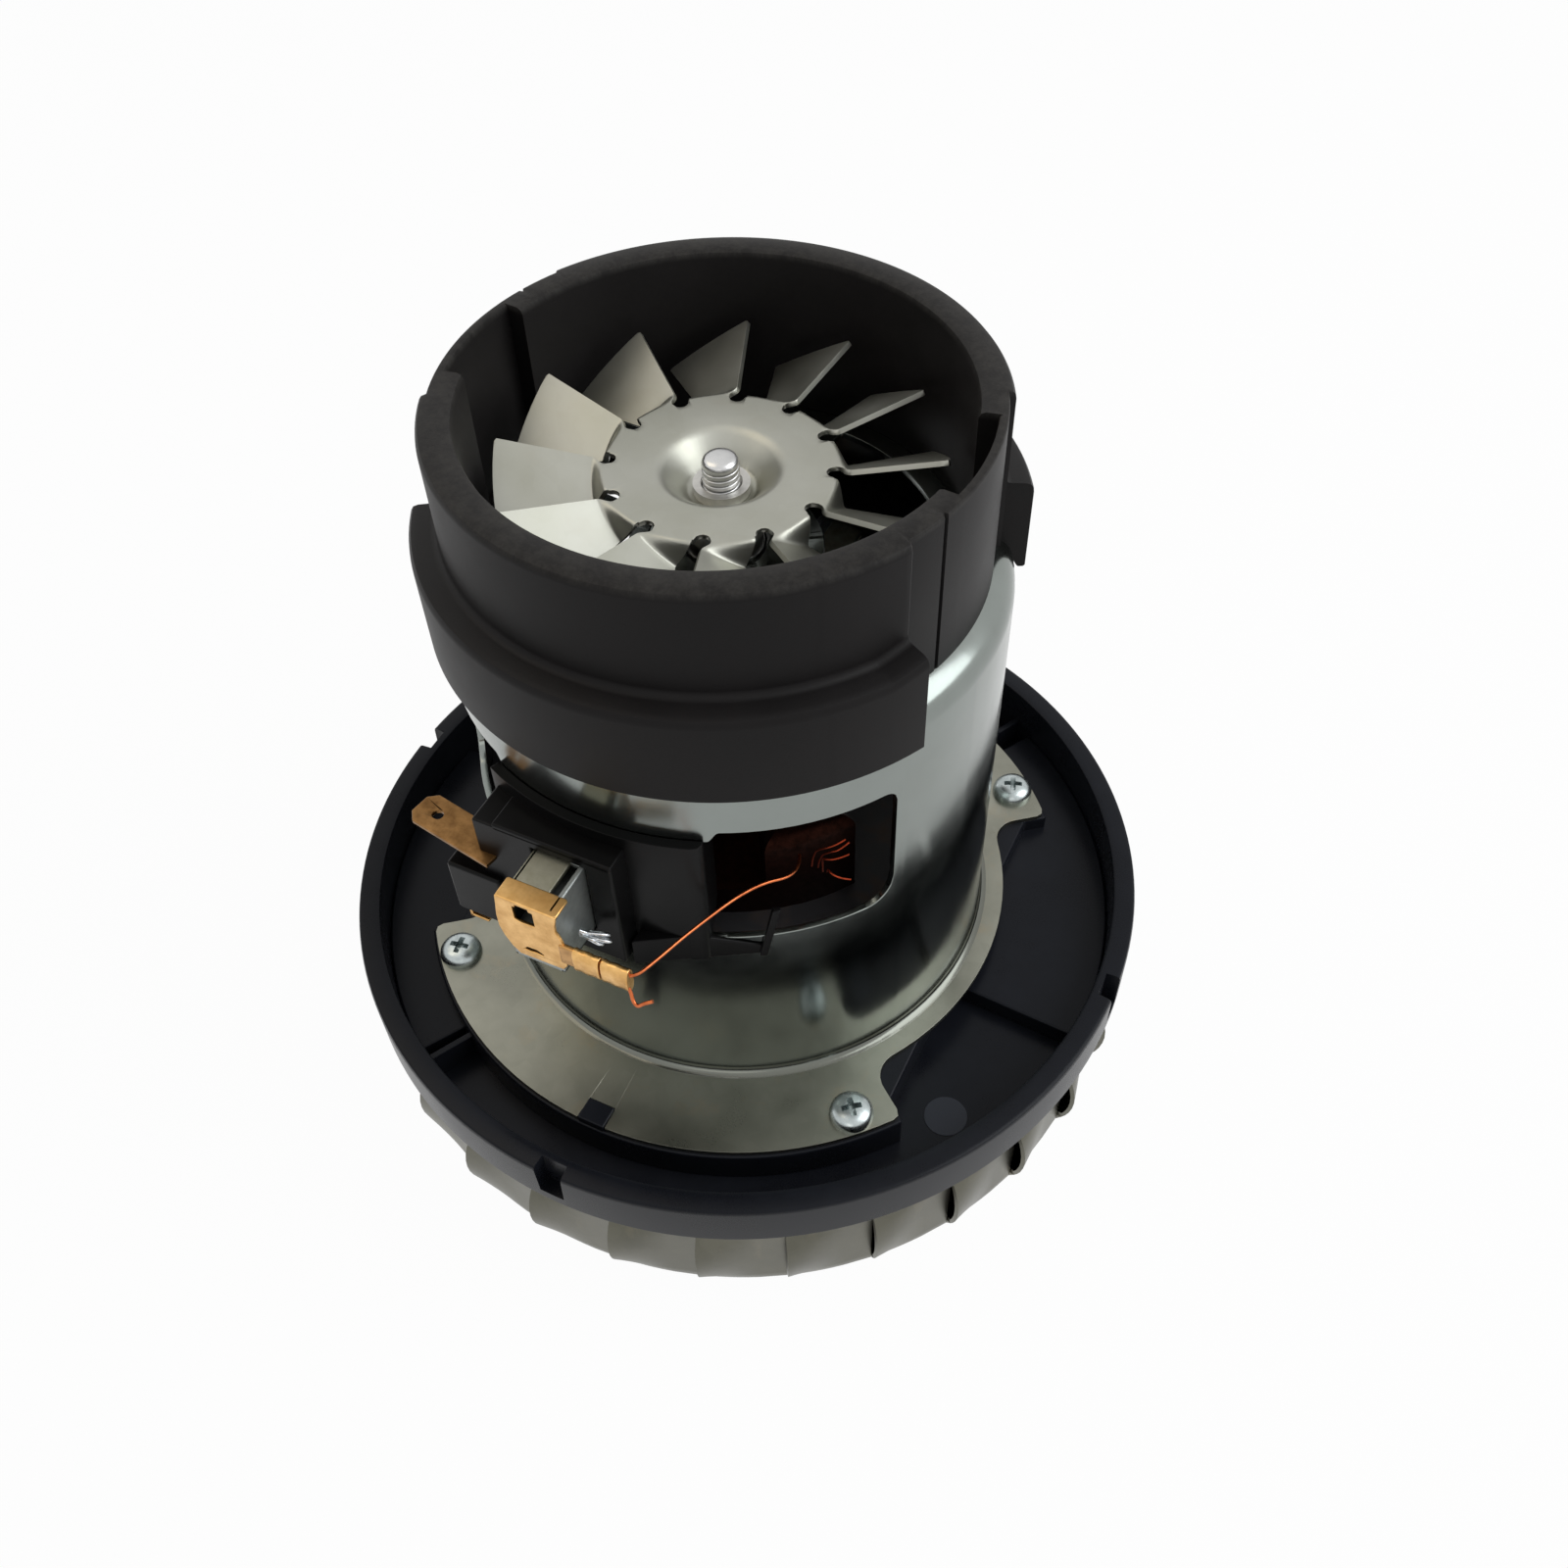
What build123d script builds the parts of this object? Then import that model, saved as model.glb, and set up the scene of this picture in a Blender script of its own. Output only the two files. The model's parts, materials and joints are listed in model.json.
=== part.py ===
from build123d import *
import math
import os

# Vacuum cleaner motor with its two fans, built as it comes apart on a bench. Sizes are millimetres.
# The frame stands on the flat bottom of the steel cup: the origin is the centre of that bottom, +Z
# runs up the motor axis, and -Y points at the front brush gear. Angles run counter-clockwise seen
# from above, from +X.

# Fits shared by several pieces
overrun = 2.0
seat_gap = 0.05
running_gap = 0.05
air_gap = 0.6
sheet_steel = 0.8
front_angle = 270.0

# Heights of the stack
cup_top = 26.5
flange_seat = 30.5
can_height = 84.5
can_top = flange_seat + can_height
hub_plane = can_top + 15.3
cowl_top = can_top + 28.2

# Black dish that carries the motor and closes the fan cup
dish_radius = 75.0
dish_rim_wall = 4.1
dish_rim_height = 10.0
dish_floor_drop = 3.0
dish_floor_step = 4.0
dish_floor_wall = 2.5
dish_spigot_wall = 2.0
dish_spigot_height = 5.5
dish_edge_round = 0.8
dish_inner_radius = dish_radius - dish_rim_wall
dish_rim_top = cup_top + dish_rim_height
dish_floor_top = cup_top - dish_floor_drop
platform_half_width = 45.5
step_offset = 6.0
rim_notch_count = 4
rim_notch_width = 5.0
rim_notch_inset = 2.7
rim_notch_depth = 7.5
ejector_mark_radius = 4.0
ejector_mark_depth = 0.3
ejector_mark_inset = 8.7
ejector_mark_angle = 331.1

# Drawn steel can with its flange
can_radius = 45.5
can_wall = 1.2
can_shoulder = 5.5
can_root_round = 1.2
flange_thickness = 1.0
flange_ear_reach = 15.9
flange_waist_reach = 4.8
flange_waist_round = 5.0
flange_ear_half_angle = 52.5
flange_notch_width = 5.7
flange_notch_depth = 4.2
platform_margin = 0.6
flange_ear_radius = can_radius + flange_ear_reach
flange_waist_radius = can_radius + flange_waist_reach
platform_radius = flange_ear_radius + platform_margin
window_low = 73.0
window_high = 99.2
window_lintel = 97.1
window_half_angle = 60.0
window_lintel_start_angle = 246.0
window_lintel_end_angle = 293.5
window_lintel_round = 1.2
window_corner = 3.5
top_vent_inner = 15.5
top_vent_outer = 34.0
top_vent_web_angle = 16.0

# Screws that hold the flange down on the dish
screw_inset = 4.0
screw_count = 4
screw_first_angle = 45.0
screw_shank_radius = 1.95
screw_hole_radius = 2.2
screw_head_radius = 3.9
screw_head_height = 2.5
screw_head_round = 1.6
screw_length = 8.0
boss_radius = 4.5
screw_circle_radius = flange_ear_radius - screw_inset

# Ball bearings of the 8 x 22 x 7 size
shaft_radius = 4.0
bearing_radius = 11.0
bearing_width = 7.0
bearing_inner_wall = 2.2
bearing_shield_gap = 0.3
bearing_lip_radius = 7.0
upper_bearing_rise = 0.8
seat_collar_drop = 6.2
upper_bearing_high = can_top + upper_bearing_rise
lower_bearing_high = flange_seat

# Rotor shaft
stub_radius = 3.15
thread_radius = 2.9
stub_rise = 1.7
stub_chamfer = 0.5
shaft_shoulder_rise = 4.0
shaft_foot = 6.0
stub_top = hub_plane + stub_rise
shaft_shoulder = can_top + shaft_shoulder_rise

# Stator and armature
stack_rise = 9.5
stack_height = 28.0
stator_bore = 22.3
coil_inner_wall = 2.7
coil_outer_wall = 7.3
coil_half_angle = 58.0
coil_side_angle = 16.0
coil_end_rise = 6.3
coil_end_drop = 6.0
coil_shoulder_rise = 17.5
coil_shoulder_inset = 3.5
coil_shoulder_angle = 24.0
coil_slot_play_angle = 0.5
coil_round = 2.5
armature_slot_count = 12
armature_slot_width = 3.0
armature_slot_depth = 8.0
winding_end_inset = 2.2
winding_end_rise = 6.0
winding_end_drop = 7.0
winding_round = 3.0
shaft_insulation = 2.5
stack_low = flange_seat + stack_rise
stack_high = stack_low + stack_height

# Commutator
commutator_radius = 12.5
commutator_rise = 6.5
commutator_height = 19.5
riser_step = 2.0
riser_height = 2.5
bar_count = 24
bar_groove_width = 0.5
bar_groove_depth = 0.8
commutator_low = stack_high + commutator_rise
commutator_high = commutator_low + commutator_height
riser_radius = commutator_radius + riser_step

# Cooling fan, stamped from one steel sheet
fan_blade_count = 12
fan_hub_radius = 18.0
fan_tip_radius = 34.0
fan_dish_radius = 9.75
fan_dish_floor_radius = 5.2
fan_dish_depth = 4.5
fan_notch_circle_radius = 17.0
fan_notch_radius = 1.3
fan_first_notch_angle = 18.4
fan_pitch_angle = 33.0
fan_root_reach = 15.8
fan_twist_reach = 21.0
fan_root_edge = 0.2
fan_tip_edge = 0.6
fan_twist_lift = 0.8
fan_tip_lift = 3.0
fan_root_chord = 7.2
fan_twist_chord = 8.6
fan_tip_chord = 15.5
bush_neck_radius = 3.9
bush_rim_radius = 4.4
bush_rim = 1.5
bush_flange_radius = 6.5

# Cowl round the cooling fan
cowl_inner_radius = 37.5
cowl_wall = 5.4
cowl_flat_inset = 1.0
cowl_recess_wall = 1.4
cowl_flat_start_angle = 334.0
cowl_flat_end_angle = 384.5
cowl_recess_start_angle = 349.5
cowl_recess_end_angle = 376.5
cowl_groove_start_angle = 343.5
cowl_groove_end_angle = 344.3
cowl_groove_depth = 0.5
cowl_rim_round = 1.4
cowl_outer_radius = cowl_inner_radius + cowl_wall
cowl_flat_radius = cowl_outer_radius - cowl_flat_inset
cowl_recess_radius = cowl_flat_radius - cowl_recess_wall
lobe_play = 0.5
lobe_wall = 1.5
lobe_start_angle = 207.0
lobe_end_angle = 333.5
lobe_low = 108.3
lobe_high = 125.0
lobe_roof = 2.0
lobe_round = 1.5
lobe_pad_start_angle = 326.5
lobe_pad_rise = 0.8
lobe_pad_inset = 0.6
lobe_inner_radius = can_radius + lobe_play
lobe_outer_radius = lobe_inner_radius + lobe_wall

# Louvred steel cup
cup_inset = 3.0
cup_bottom_round = 5.0
eye_radius = 19.0
eye_lip_height = 3.0
louvre_count = 29
louvre_centre_drop = 14.0
louvre_half_height = 8.0
louvre_reach = 2.7
louvre_angle = 10.5
louvre_first_angle = 3.5
cup_radius = dish_radius - cup_inset
louvre_centre_height = cup_top - louvre_centre_drop

# Working fan in the cup
impeller_edge_gap = 8.0
impeller_eye_overlap = 2.0
impeller_eye_gap = 0.6
impeller_roof_gap = 3.7
impeller_sheet = 0.8
vane_count = 9
vane_sweep_angle = 52.0
vane_bulge_share = 0.62
vane_bulge_angle_share = 0.36
impeller_washer_radius = 13.0
impeller_washer_thickness = 1.2
impeller_nut_radius = 7.5
impeller_nut_height = 6.5
spacer_radius = 6.0
dish_floor_low = dish_floor_top - dish_floor_wall
impeller_radius = cup_radius - impeller_edge_gap
impeller_eye_radius = eye_radius + impeller_eye_overlap
impeller_top_disc_high = dish_floor_low - impeller_roof_gap
impeller_top_disc_low = impeller_top_disc_high - impeller_sheet
impeller_eye_disc_low = eye_lip_height + impeller_eye_gap
impeller_eye_disc_high = impeller_eye_disc_low + impeller_sheet

# Brush gear. Its places are measured from the motor axis: along X, out from the axis (which is -Y
# for the front set) and up from the stand.
brush_offset = -3.5
brush_height = 84.5
brush_width = 7.0
brush_depth = 13.0
brush_length = 26.0
brush_slide_gap = 0.1
box_wall = 0.9
box_inner_end = 22.0
box_outer_end = 60.0
box_slot_width = 1.7
box_slot_inner = 50.5
box_slot_outer = 56.4
spring_radius = 3.0
spring_wall = 0.6

# Moulded brush holder
holder_inner_radius = 37.0
holder_outer_radius = 47.2
holder_start_angle = 245.6
holder_end_angle = 291.7
holder_top = 97.5
holder_round = 2.0
hood_left = -18.6
hood_right = 5.8
hood_face = 51.0
hood_low = 70.5
hood_top = 95.0
hood_step_left = -14.9
hood_step_drop = 0.7
sleeve_wall = 2.0
sleeve_inner_end = 26.0
sleeve_outer_end = 44.0
block_left = -25.2
block_right = -15.0
block_inner = 43.0
block_face = 52.2
block_low = 69.5
block_high = 81.5
block_chamfer = 1.0
foot_left = 6.4
foot_left_out = 49.7
foot_right = 24.6
foot_right_out = 38.9
foot_slope_start = 15.0
foot_low = 69.0
foot_high = 75.0
foot_end_high = 70.8
foot_rib_angle = 303.6
foot_rib_tilt_angle = 11.0
foot_rib_thickness = 1.0
foot_rib_width = 1.4
foot_rib_top = 80.5

# Brass strip pieces
brass_strip = 0.6
bracket_left = -8.6
bracket_right = 1.9
bracket_low = 79.0
bracket_lip_inner = 56.8
bracket_taper = 2.2
bracket_waist = 1.2
bracket_corner = 1.5
bracket_window_left = -5.8
bracket_window_right = -2.3
bracket_window_drop = 4.8
bracket_slot_left = -5.3
bracket_slot_right = -1.9
bracket_slot_low = 80.4
bracket_slot_high = 81.6
arm_end = 12.6
arm_low = 82.1
arm_high = 85.3
crimp_start = 4.0
crimp_wall = 0.7
crimp_play = 0.8
tab_thickness = 0.8
tab_width = 6.3
tab_height = 86.5
tab_root = -15.2
tab_root_out = 50.1
tab_length = 17.6
tab_turn_angle = 10.0
tab_hole_radius = 0.85
tab_hole_inset = 4.0
tab_chamfer = 1.3
tail_left = -24.2
tail_out = 50.0
tail_width = 2.2
tail_drop = 3.1
tail_foot = 3.6

# Wires, as routes of X, distance out from the axis and height: the field lead runs from the crimp to
# the coil, and the shunt from the foot of the box to its side plate
lead_radius = 0.35
shunt_radius = 0.6
route_bend_share = 0.45
lead_route = [
    (11.0, 61.02, 84.4),
    (13.9, 60.95, 84.8),
    (15.6, 56.5, 84.9),
    (17.4, 49.6, 84.3),
    (22.3, 38.0, 84.7),
    (27.7, 32.2, 83.2),
    (25.4, 27.9, 82.0),
]
shunt_route = [
    (1.75, 52.6, 78.7),
    (3.6, 52.8, 79.1),
    (4.6, 54.2, 80.9),
    (3.6, 55.4, 82.7),
    (1.75, 55.8, 83.5),
]

# Sizes that follow from the ones above
can_inner_radius = can_radius - can_wall
spigot_radius = cup_radius - sheet_steel - seat_gap
flange_top = flange_seat + flange_thickness
armature_radius = stator_bore - air_gap
winding_end_radius = armature_radius - winding_end_inset
coil_inner_radius = stator_bore + coil_inner_wall
coil_outer_radius = can_inner_radius - coil_outer_wall
coil_shoulder_inner_radius = coil_inner_radius + coil_shoulder_inset
upper_bearing_low = upper_bearing_high - bearing_width
lower_bearing_low = lower_bearing_high - bearing_width
seat_radius = bearing_radius + seat_gap
brush_inner = commutator_radius + running_gap
box_half_width = brush_width / 2 + brush_slide_gap + box_wall
box_half_depth = brush_depth / 2 + brush_slide_gap + box_wall
box_top = brush_height + box_half_depth
box_low = brush_height - box_half_depth
window_opening_low = window_low + running_gap
bracket_high = box_top + brass_strip


def disc(radius, low, high):
    """Solid cylinder on the motor axis between two heights."""
    return Pos(0, 0, (low + high) / 2) * Cylinder(radius, high - low)


def tube(outer, inner, low, high):
    """Ring on the motor axis between two heights."""
    return disc(outer, low, high) - disc(inner, low - overrun, high + overrun)


def sector(inner, outer, low, high, start, end):
    """Part of a ring from one angle to another."""
    section = Pos((inner + outer) / 2, (low + high) / 2) * Rectangle(outer - inner, high - low)
    turned = revolve(Plane.XZ * section, Axis.Z, revolution_arc=end - start)
    return Rot(0, 0, start) * turned


def block(x_range, out_range, height_range):
    """Box of the brush gear: X, distance out from the axis towards -Y, and height."""
    x0, x1 = x_range
    out0, out1 = out_range
    low, high = height_range
    box = Box(x1 - x0, out1 - out0, high - low)
    return Pos((x0 + x1) / 2, -(out0 + out1) / 2, (low + high) / 2) * box


def around(solid, count, first=0.0):
    """Copies of a solid, evenly spaced about the motor axis."""
    return [Rot(0, 0, first + 360 * i / count) * solid for i in range(count)]


def both(solid):
    """A feature and its twin on the far side of the motor."""
    return around(solid, 2)


def at_polar(radius, angle, solid):
    """A solid moved to a radius and an angle about the motor axis."""
    turn = math.radians(angle)
    return Pos(radius * math.cos(turn), radius * math.sin(turn), 0) * solid


def route_wire(route, radius):
    """Round wire through a route of points: straight runs joined by tangent arcs."""
    points = [Vector(x, -out, height) for x, out, height in route]
    radii = []
    for before, here, after in zip(points, points[1:], points[2:]):
        run = min((here - before).length, (after - here).length)
        turn = (here - before).get_angle(after - here)
        radii.append(route_bend_share * run / math.tan(math.radians(turn / 2)))
    path = FilletPolyline(points, radius=radii)
    start = path ^ 0
    section = Plane(origin=start.position, z_dir=path % 0) * Circle(radius)
    wire = sweep(section, path)
    print("wire radii", [round(r, 1) for r in radii], "length", round(path.length, 1))
    ideal = math.pi * radius**2 * path.length
    print("volume against section times length", round(wire.volume / ideal, 3))
    return wire


# The black dish
def make_platform_outline():
    """Raised seat for the flange: two wide sectors joined by a straight-sided middle."""
    middle = Rectangle(2 * platform_half_width, 2 * platform_radius) & Circle(platform_radius)
    return middle + [make_ear_outline(platform_radius, angle) for angle in (front_angle, front_angle + 180)]


def make_ear_outline(radius, angle):
    """Pie slice under one ear pair of the flange."""
    arc = CenterArc((0, 0), radius, angle - flange_ear_half_angle, 2 * flange_ear_half_angle)
    return make_face([arc, Line((0, 0), arc @ 0), Line((0, 0), arc @ 1)])


def make_air_dish():
    """Dish with its rim, spigot, stepped floor and the platform that the flange sits on."""
    body = Rot(0, 0, 180 / rim_notch_count) * disc(dish_radius, cup_top, dish_rim_top)
    body += disc(spigot_radius, cup_top - dish_spigot_height, cup_top + seat_gap)
    body -= disc(dish_inner_radius, dish_floor_top, dish_rim_top + overrun)
    under = spigot_radius - dish_spigot_wall
    body -= disc(under, cup_top - dish_spigot_height - overrun, dish_floor_low)
    step_high = dish_floor_top + dish_floor_step
    shelf_reach = dish_inner_radius + seat_gap
    shelf = Box(shelf_reach, shelf_reach, dish_floor_step, align=(Align.MIN, Align.MIN, Align.MIN))
    shelf = Pos(0, -step_offset, dish_floor_top) * shelf
    shelf &= disc(shelf_reach, dish_floor_top, step_high)
    body += both(shelf)
    outline = make_platform_outline()
    body += Pos(0, 0, dish_floor_top) * extrude(outline, flange_seat - dish_floor_top)
    top_edges = body.edges().filter_by(GeomType.CIRCLE).group_by(Axis.Z)[-1]
    body = fillet(top_edges, dish_edge_round)
    pocket = offset(outline, -dish_floor_wall, kind=Kind.INTERSECTION)
    pocket_high = flange_seat - dish_floor_wall
    hollow = Pos(0, 0, dish_floor_low - overrun) * extrude(pocket, pocket_high - dish_floor_low + overrun)
    body -= hollow
    boss = at_polar(screw_circle_radius, screw_first_angle, disc(boss_radius, dish_floor_low, flange_seat))
    body += around(boss, screw_count)
    bore = disc(screw_shank_radius + seat_gap, 0, flange_seat + overrun)
    hole = at_polar(screw_circle_radius, screw_first_angle, bore)
    body -= around(hole, screw_count)
    body -= disc(seat_radius + can_wall + seat_gap, 0, flange_seat + overrun)
    notch_low = dish_rim_top - rim_notch_depth
    notch = Box(dish_radius, rim_notch_width, rim_notch_depth + overrun,
                align=(Align.MIN, Align.CENTER, Align.MIN))
    body -= around(Pos(dish_radius - rim_notch_inset, 0, notch_low) * notch, rim_notch_count)
    tab_outer = flange_ear_radius
    tab_inner = flange_ear_radius - flange_notch_depth + seat_gap
    tab_half = flange_notch_width / 2 - seat_gap
    tab = block((-tab_half, tab_half), (tab_inner, tab_outer), (flange_seat - seat_gap, flange_top))
    body += both(tab)
    mark = disc(ejector_mark_radius, dish_floor_top - ejector_mark_depth, dish_floor_top + overrun)
    body -= both(at_polar(dish_inner_radius - ejector_mark_inset, ejector_mark_angle, mark))
    return body


# The steel can
def make_flange_outline():
    """Flange seen from above: two wide ears, a waist between them and two locating notches."""
    outline = Circle(flange_waist_radius)
    outline += [make_ear_outline(flange_ear_radius, angle) for angle in (front_angle, front_angle + 180)]
    corners = outline.vertices()
    corners = corners.filter_by(lambda v: abs(math.hypot(v.X, v.Y) - flange_waist_radius) < seat_gap)
    outline = fillet(corners, flange_waist_round)
    notch = Rectangle(flange_notch_width, 2 * flange_notch_depth)
    outline -= [Pos(0, side * flange_ear_radius) * notch for side in (1, -1)]
    hole = Circle(screw_hole_radius)
    outline -= [
        Rot(0, 0, screw_first_angle + 360 * i / screw_count) * Pos(screw_circle_radius, 0) * hole
        for i in range(screw_count)
    ]
    return outline


def make_bearing_seat(low, high, lip_low, lip_high):
    """Drawn collar that holds a bearing, with a lip that stops it."""
    collar = tube(seat_radius + can_wall, seat_radius, low, high)
    lip = tube(seat_radius + can_wall, bearing_lip_radius, lip_low, lip_high)
    return collar + lip


def make_can_envelope(gap):
    """Outside of the can above its flange, grown by a gap, for pieces that seat on it."""
    body = disc(can_radius + gap, flange_seat, can_top + gap)
    return fillet(body.edges().group_by(Axis.Z)[-1], can_shoulder)


def make_brush_window():
    """Opening in the can wall for a brush holder; the wall comes lower above the holder."""
    start = front_angle - window_half_angle
    window = sector(can_radius / 2, can_radius + overrun, window_low, window_high,
                    start, start + 2 * window_half_angle)
    edges = window.edges().filter_by(GeomType.LINE)
    radial = edges.filter_by(lambda e: abs(e.center().Z - (window_low + window_high) / 2) > window_corner)
    window = fillet(radial, window_corner)
    lintel = sector(can_radius / 2 - overrun, can_radius + 2 * overrun, window_lintel,
                    window_high + overrun, window_lintel_start_angle, window_lintel_end_angle)
    edges = lintel.edges().filter_by(GeomType.LINE)
    radial = edges.filter_by(lambda e: abs(e.center().Z - window_lintel) < seat_gap)
    return window - fillet(radial, window_lintel_round)


def make_motor_can():
    """Drawn can: flange, wall with two brush windows, vented top and upper bearing seat."""
    shell = make_can_envelope(0)
    shell += Pos(0, 0, flange_seat) * extrude(make_flange_outline(), flange_thickness)
    root = shell.edges().filter_by(GeomType.CIRCLE)
    root = root.filter_by(lambda e: abs(e.center().Z - flange_top) < seat_gap)
    root = root.filter_by(lambda e: abs(e.radius - can_radius) < seat_gap and e.length > can_radius)
    shell = fillet(root, can_root_round)
    inside = disc(can_inner_radius, flange_seat - overrun, can_top - can_wall)
    shell -= fillet(inside.edges().group_by(Axis.Z)[-1], can_shoulder - can_wall)
    shell -= both(make_brush_window())
    vent_span = 90 - top_vent_web_angle
    vent = sector(top_vent_inner, top_vent_outer, can_top - can_shoulder, can_top + overrun, 0, vent_span)
    shell -= around(vent, 4, top_vent_web_angle / 2)
    shell -= disc(bearing_lip_radius, can_top - can_shoulder, can_top + overrun)
    seat_low = can_top - seat_collar_drop
    lip_high = upper_bearing_high + seat_gap + can_wall
    shell -= disc(seat_radius, seat_low, can_top + overrun)
    return shell + make_bearing_seat(seat_low, lip_high, upper_bearing_high + seat_gap, lip_high)


def make_lower_bearing_plate():
    """Pressed plate inside the mouth of the can, with the lower bearing seat."""
    plate = tube(can_inner_radius - seat_gap, seat_radius, flange_seat, flange_top)
    lip_low = lower_bearing_low - seat_gap - can_wall
    plate += make_bearing_seat(lip_low, flange_top, lip_low, lower_bearing_low - seat_gap)
    return plate


def make_flange_screws():
    """Four pan-head screws through the flange into the bosses of the dish."""
    head = disc(screw_head_radius, flange_top, flange_top + screw_head_height)
    head = fillet(head.edges().group_by(Axis.Z)[-1], screw_head_round)
    screw = head + disc(screw_shank_radius, flange_top - screw_length, flange_top)
    return around(at_polar(screw_circle_radius, screw_first_angle, screw), screw_count)


# The louvred cup
def make_louvre(grow, back):
    """Half-cone scoop whose open end faces clockwise; grow thickens it and back moves its root in."""
    half = louvre_half_height + grow
    root = cup_radius - sheet_steel / 2 - back
    crown = cup_radius + louvre_reach + grow
    ends = [(root, louvre_centre_height - half), (root, louvre_centre_height + half)]
    mouth_arc = ThreePointArc(ends[0], (crown, louvre_centre_height), ends[1])
    mouth = Plane.XZ * make_face([mouth_arc, Line(ends[1], ends[0])])
    tip = Rot(0, 0, louvre_angle) * Vertex(root, 0, louvre_centre_height)
    return loft([mouth, tip], ruled=True)


def make_louvred_cup():
    """Cup with a rounded bottom edge, an inlet eye with a turned-in lip, and louvres all round."""
    body = disc(cup_radius, 0, cup_top)
    body = fillet(body.edges().group_by(Axis.Z)[0], cup_bottom_round)
    inside = disc(cup_radius - sheet_steel, sheet_steel, cup_top + overrun)
    inside = fillet(inside.edges().group_by(Axis.Z)[0], cup_bottom_round - sheet_steel)
    body -= inside
    body += tube(eye_radius + sheet_steel, eye_radius, 0, eye_lip_height)
    body -= disc(eye_radius, -overrun, eye_lip_height + overrun)
    body += around(make_louvre(0, 0), louvre_count, louvre_first_angle)
    body -= around(make_louvre(-sheet_steel, sheet_steel), louvre_count, louvre_first_angle)
    return body


# Bearings and shaft
def make_bearing_rings(low):
    """Outer ring with its shield, and inner ring, of one ball bearing."""
    inner_radius = shaft_radius + bearing_inner_wall
    outer = tube(bearing_radius, inner_radius + bearing_shield_gap, low, low + bearing_width)
    inner = tube(inner_radius, shaft_radius + seat_gap, low, low + bearing_width)
    return outer, inner


def make_rotor_shaft():
    """Shaft through both bearings, with the threaded stub at its upper end."""
    shaft = disc(shaft_radius, shaft_foot, shaft_shoulder)
    shaft += disc(stub_radius, shaft_shoulder, hub_plane - fan_dish_depth + bush_rim)
    shaft += disc(thread_radius, shaft_shoulder, stub_top)
    return chamfer(shaft.edges().group_by(Axis.Z)[-1], stub_chamfer)


# Stator and armature
def beside_pole(inner, outer, low, high, near, far):
    """Ring pieces on both sides of the front pole, between two angles from its middle."""
    right = sector(inner, outer, low, high, front_angle + near, front_angle + far)
    return [right, sector(inner, outer, low, high, front_angle - far, front_angle - near)]


def make_stator_core():
    """Laminated ring with slots for the field coils."""
    core = tube(can_inner_radius - seat_gap, stator_bore, stack_low, stack_high)
    near = coil_half_angle - coil_side_angle - coil_slot_play_angle
    far = coil_half_angle + coil_slot_play_angle
    for slot in beside_pole(coil_inner_radius, coil_outer_radius, stack_low - overrun, stack_high + overrun,
                            near, far):
        core -= both(slot)
    return core


def make_field_coil():
    """Saddle coil round the front pole: end turns above and below the stack, and two raised shoulders."""
    low = stack_low - coil_end_drop
    high = stack_high + coil_end_rise
    outer = coil_outer_radius - seat_gap
    start = front_angle - coil_half_angle
    coil = sector(coil_inner_radius + seat_gap, outer, low, high, start, start + 2 * coil_half_angle)
    near = coil_half_angle - coil_side_angle
    start = front_angle - near
    coil -= sector(stator_bore, can_radius, stack_low - seat_gap, stack_high + seat_gap,
                   start, start + 2 * near)
    near = coil_half_angle - coil_shoulder_angle
    top = stack_high + coil_shoulder_rise
    for shoulder in beside_pole(coil_shoulder_inner_radius, outer, high - coil_round, top, near,
                                coil_half_angle):
        coil += fillet(shoulder.edges().group_by(Axis.Z)[-1], coil_round)
    return coil


def make_armature_core():
    """Laminated armature with open slots."""
    core = tube(armature_radius, shaft_radius + seat_gap, stack_low, stack_high)
    slot = make_armature_slot(armature_slot_width, stack_low - overrun, stack_high + overrun, overrun)
    return core - around(slot, armature_slot_count)


def make_armature_slot(width, low, high, reach):
    """One slot, or the winding that fills it."""
    depth = armature_slot_depth + reach
    slot = Box(depth, width, high - low, align=(Align.MIN, Align.CENTER, Align.MIN))
    return Pos(armature_radius - armature_slot_depth, 0, low) * slot


def make_armature_windings():
    """Winding bundles in the slots and the wound ends above and below the stack."""
    bore = shaft_radius + shaft_insulation
    upper = tube(winding_end_radius, bore, stack_high + seat_gap, stack_high + winding_end_rise)
    upper = fillet(upper.edges().group_by(Axis.Z)[-1].sort_by(Edge.length)[-1:], winding_round)
    lower = tube(winding_end_radius, bore, stack_low - winding_end_drop, stack_low - seat_gap)
    lower = fillet(lower.edges().group_by(Axis.Z)[0].sort_by(Edge.length)[-1:], winding_round)
    width = armature_slot_width - 2 * seat_gap
    fill = make_armature_slot(width, stack_low - seat_gap - overrun, stack_high + seat_gap + overrun, 0)
    fill -= disc(armature_radius - armature_slot_depth + seat_gap, 0, can_top)
    fill &= disc(armature_radius - air_gap, 0, can_top)
    return upper + lower + around(fill, armature_slot_count)


def make_commutator():
    """Copper bars round an insulating core, with the riser ring that takes the winding ends."""
    body = tube(commutator_radius, shaft_radius + seat_gap, commutator_low, commutator_high)
    body += tube(riser_radius, shaft_radius + seat_gap, commutator_low, commutator_low + riser_height)
    depth = bar_groove_depth + riser_radius - commutator_radius
    height = commutator_high - commutator_low - riser_height
    groove = Box(depth + overrun, bar_groove_width, height + overrun,
                 align=(Align.MIN, Align.CENTER, Align.MIN))
    start = commutator_radius - bar_groove_depth
    return body - around(Pos(start, 0, commutator_low + riser_height) * groove, bar_count)


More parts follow.
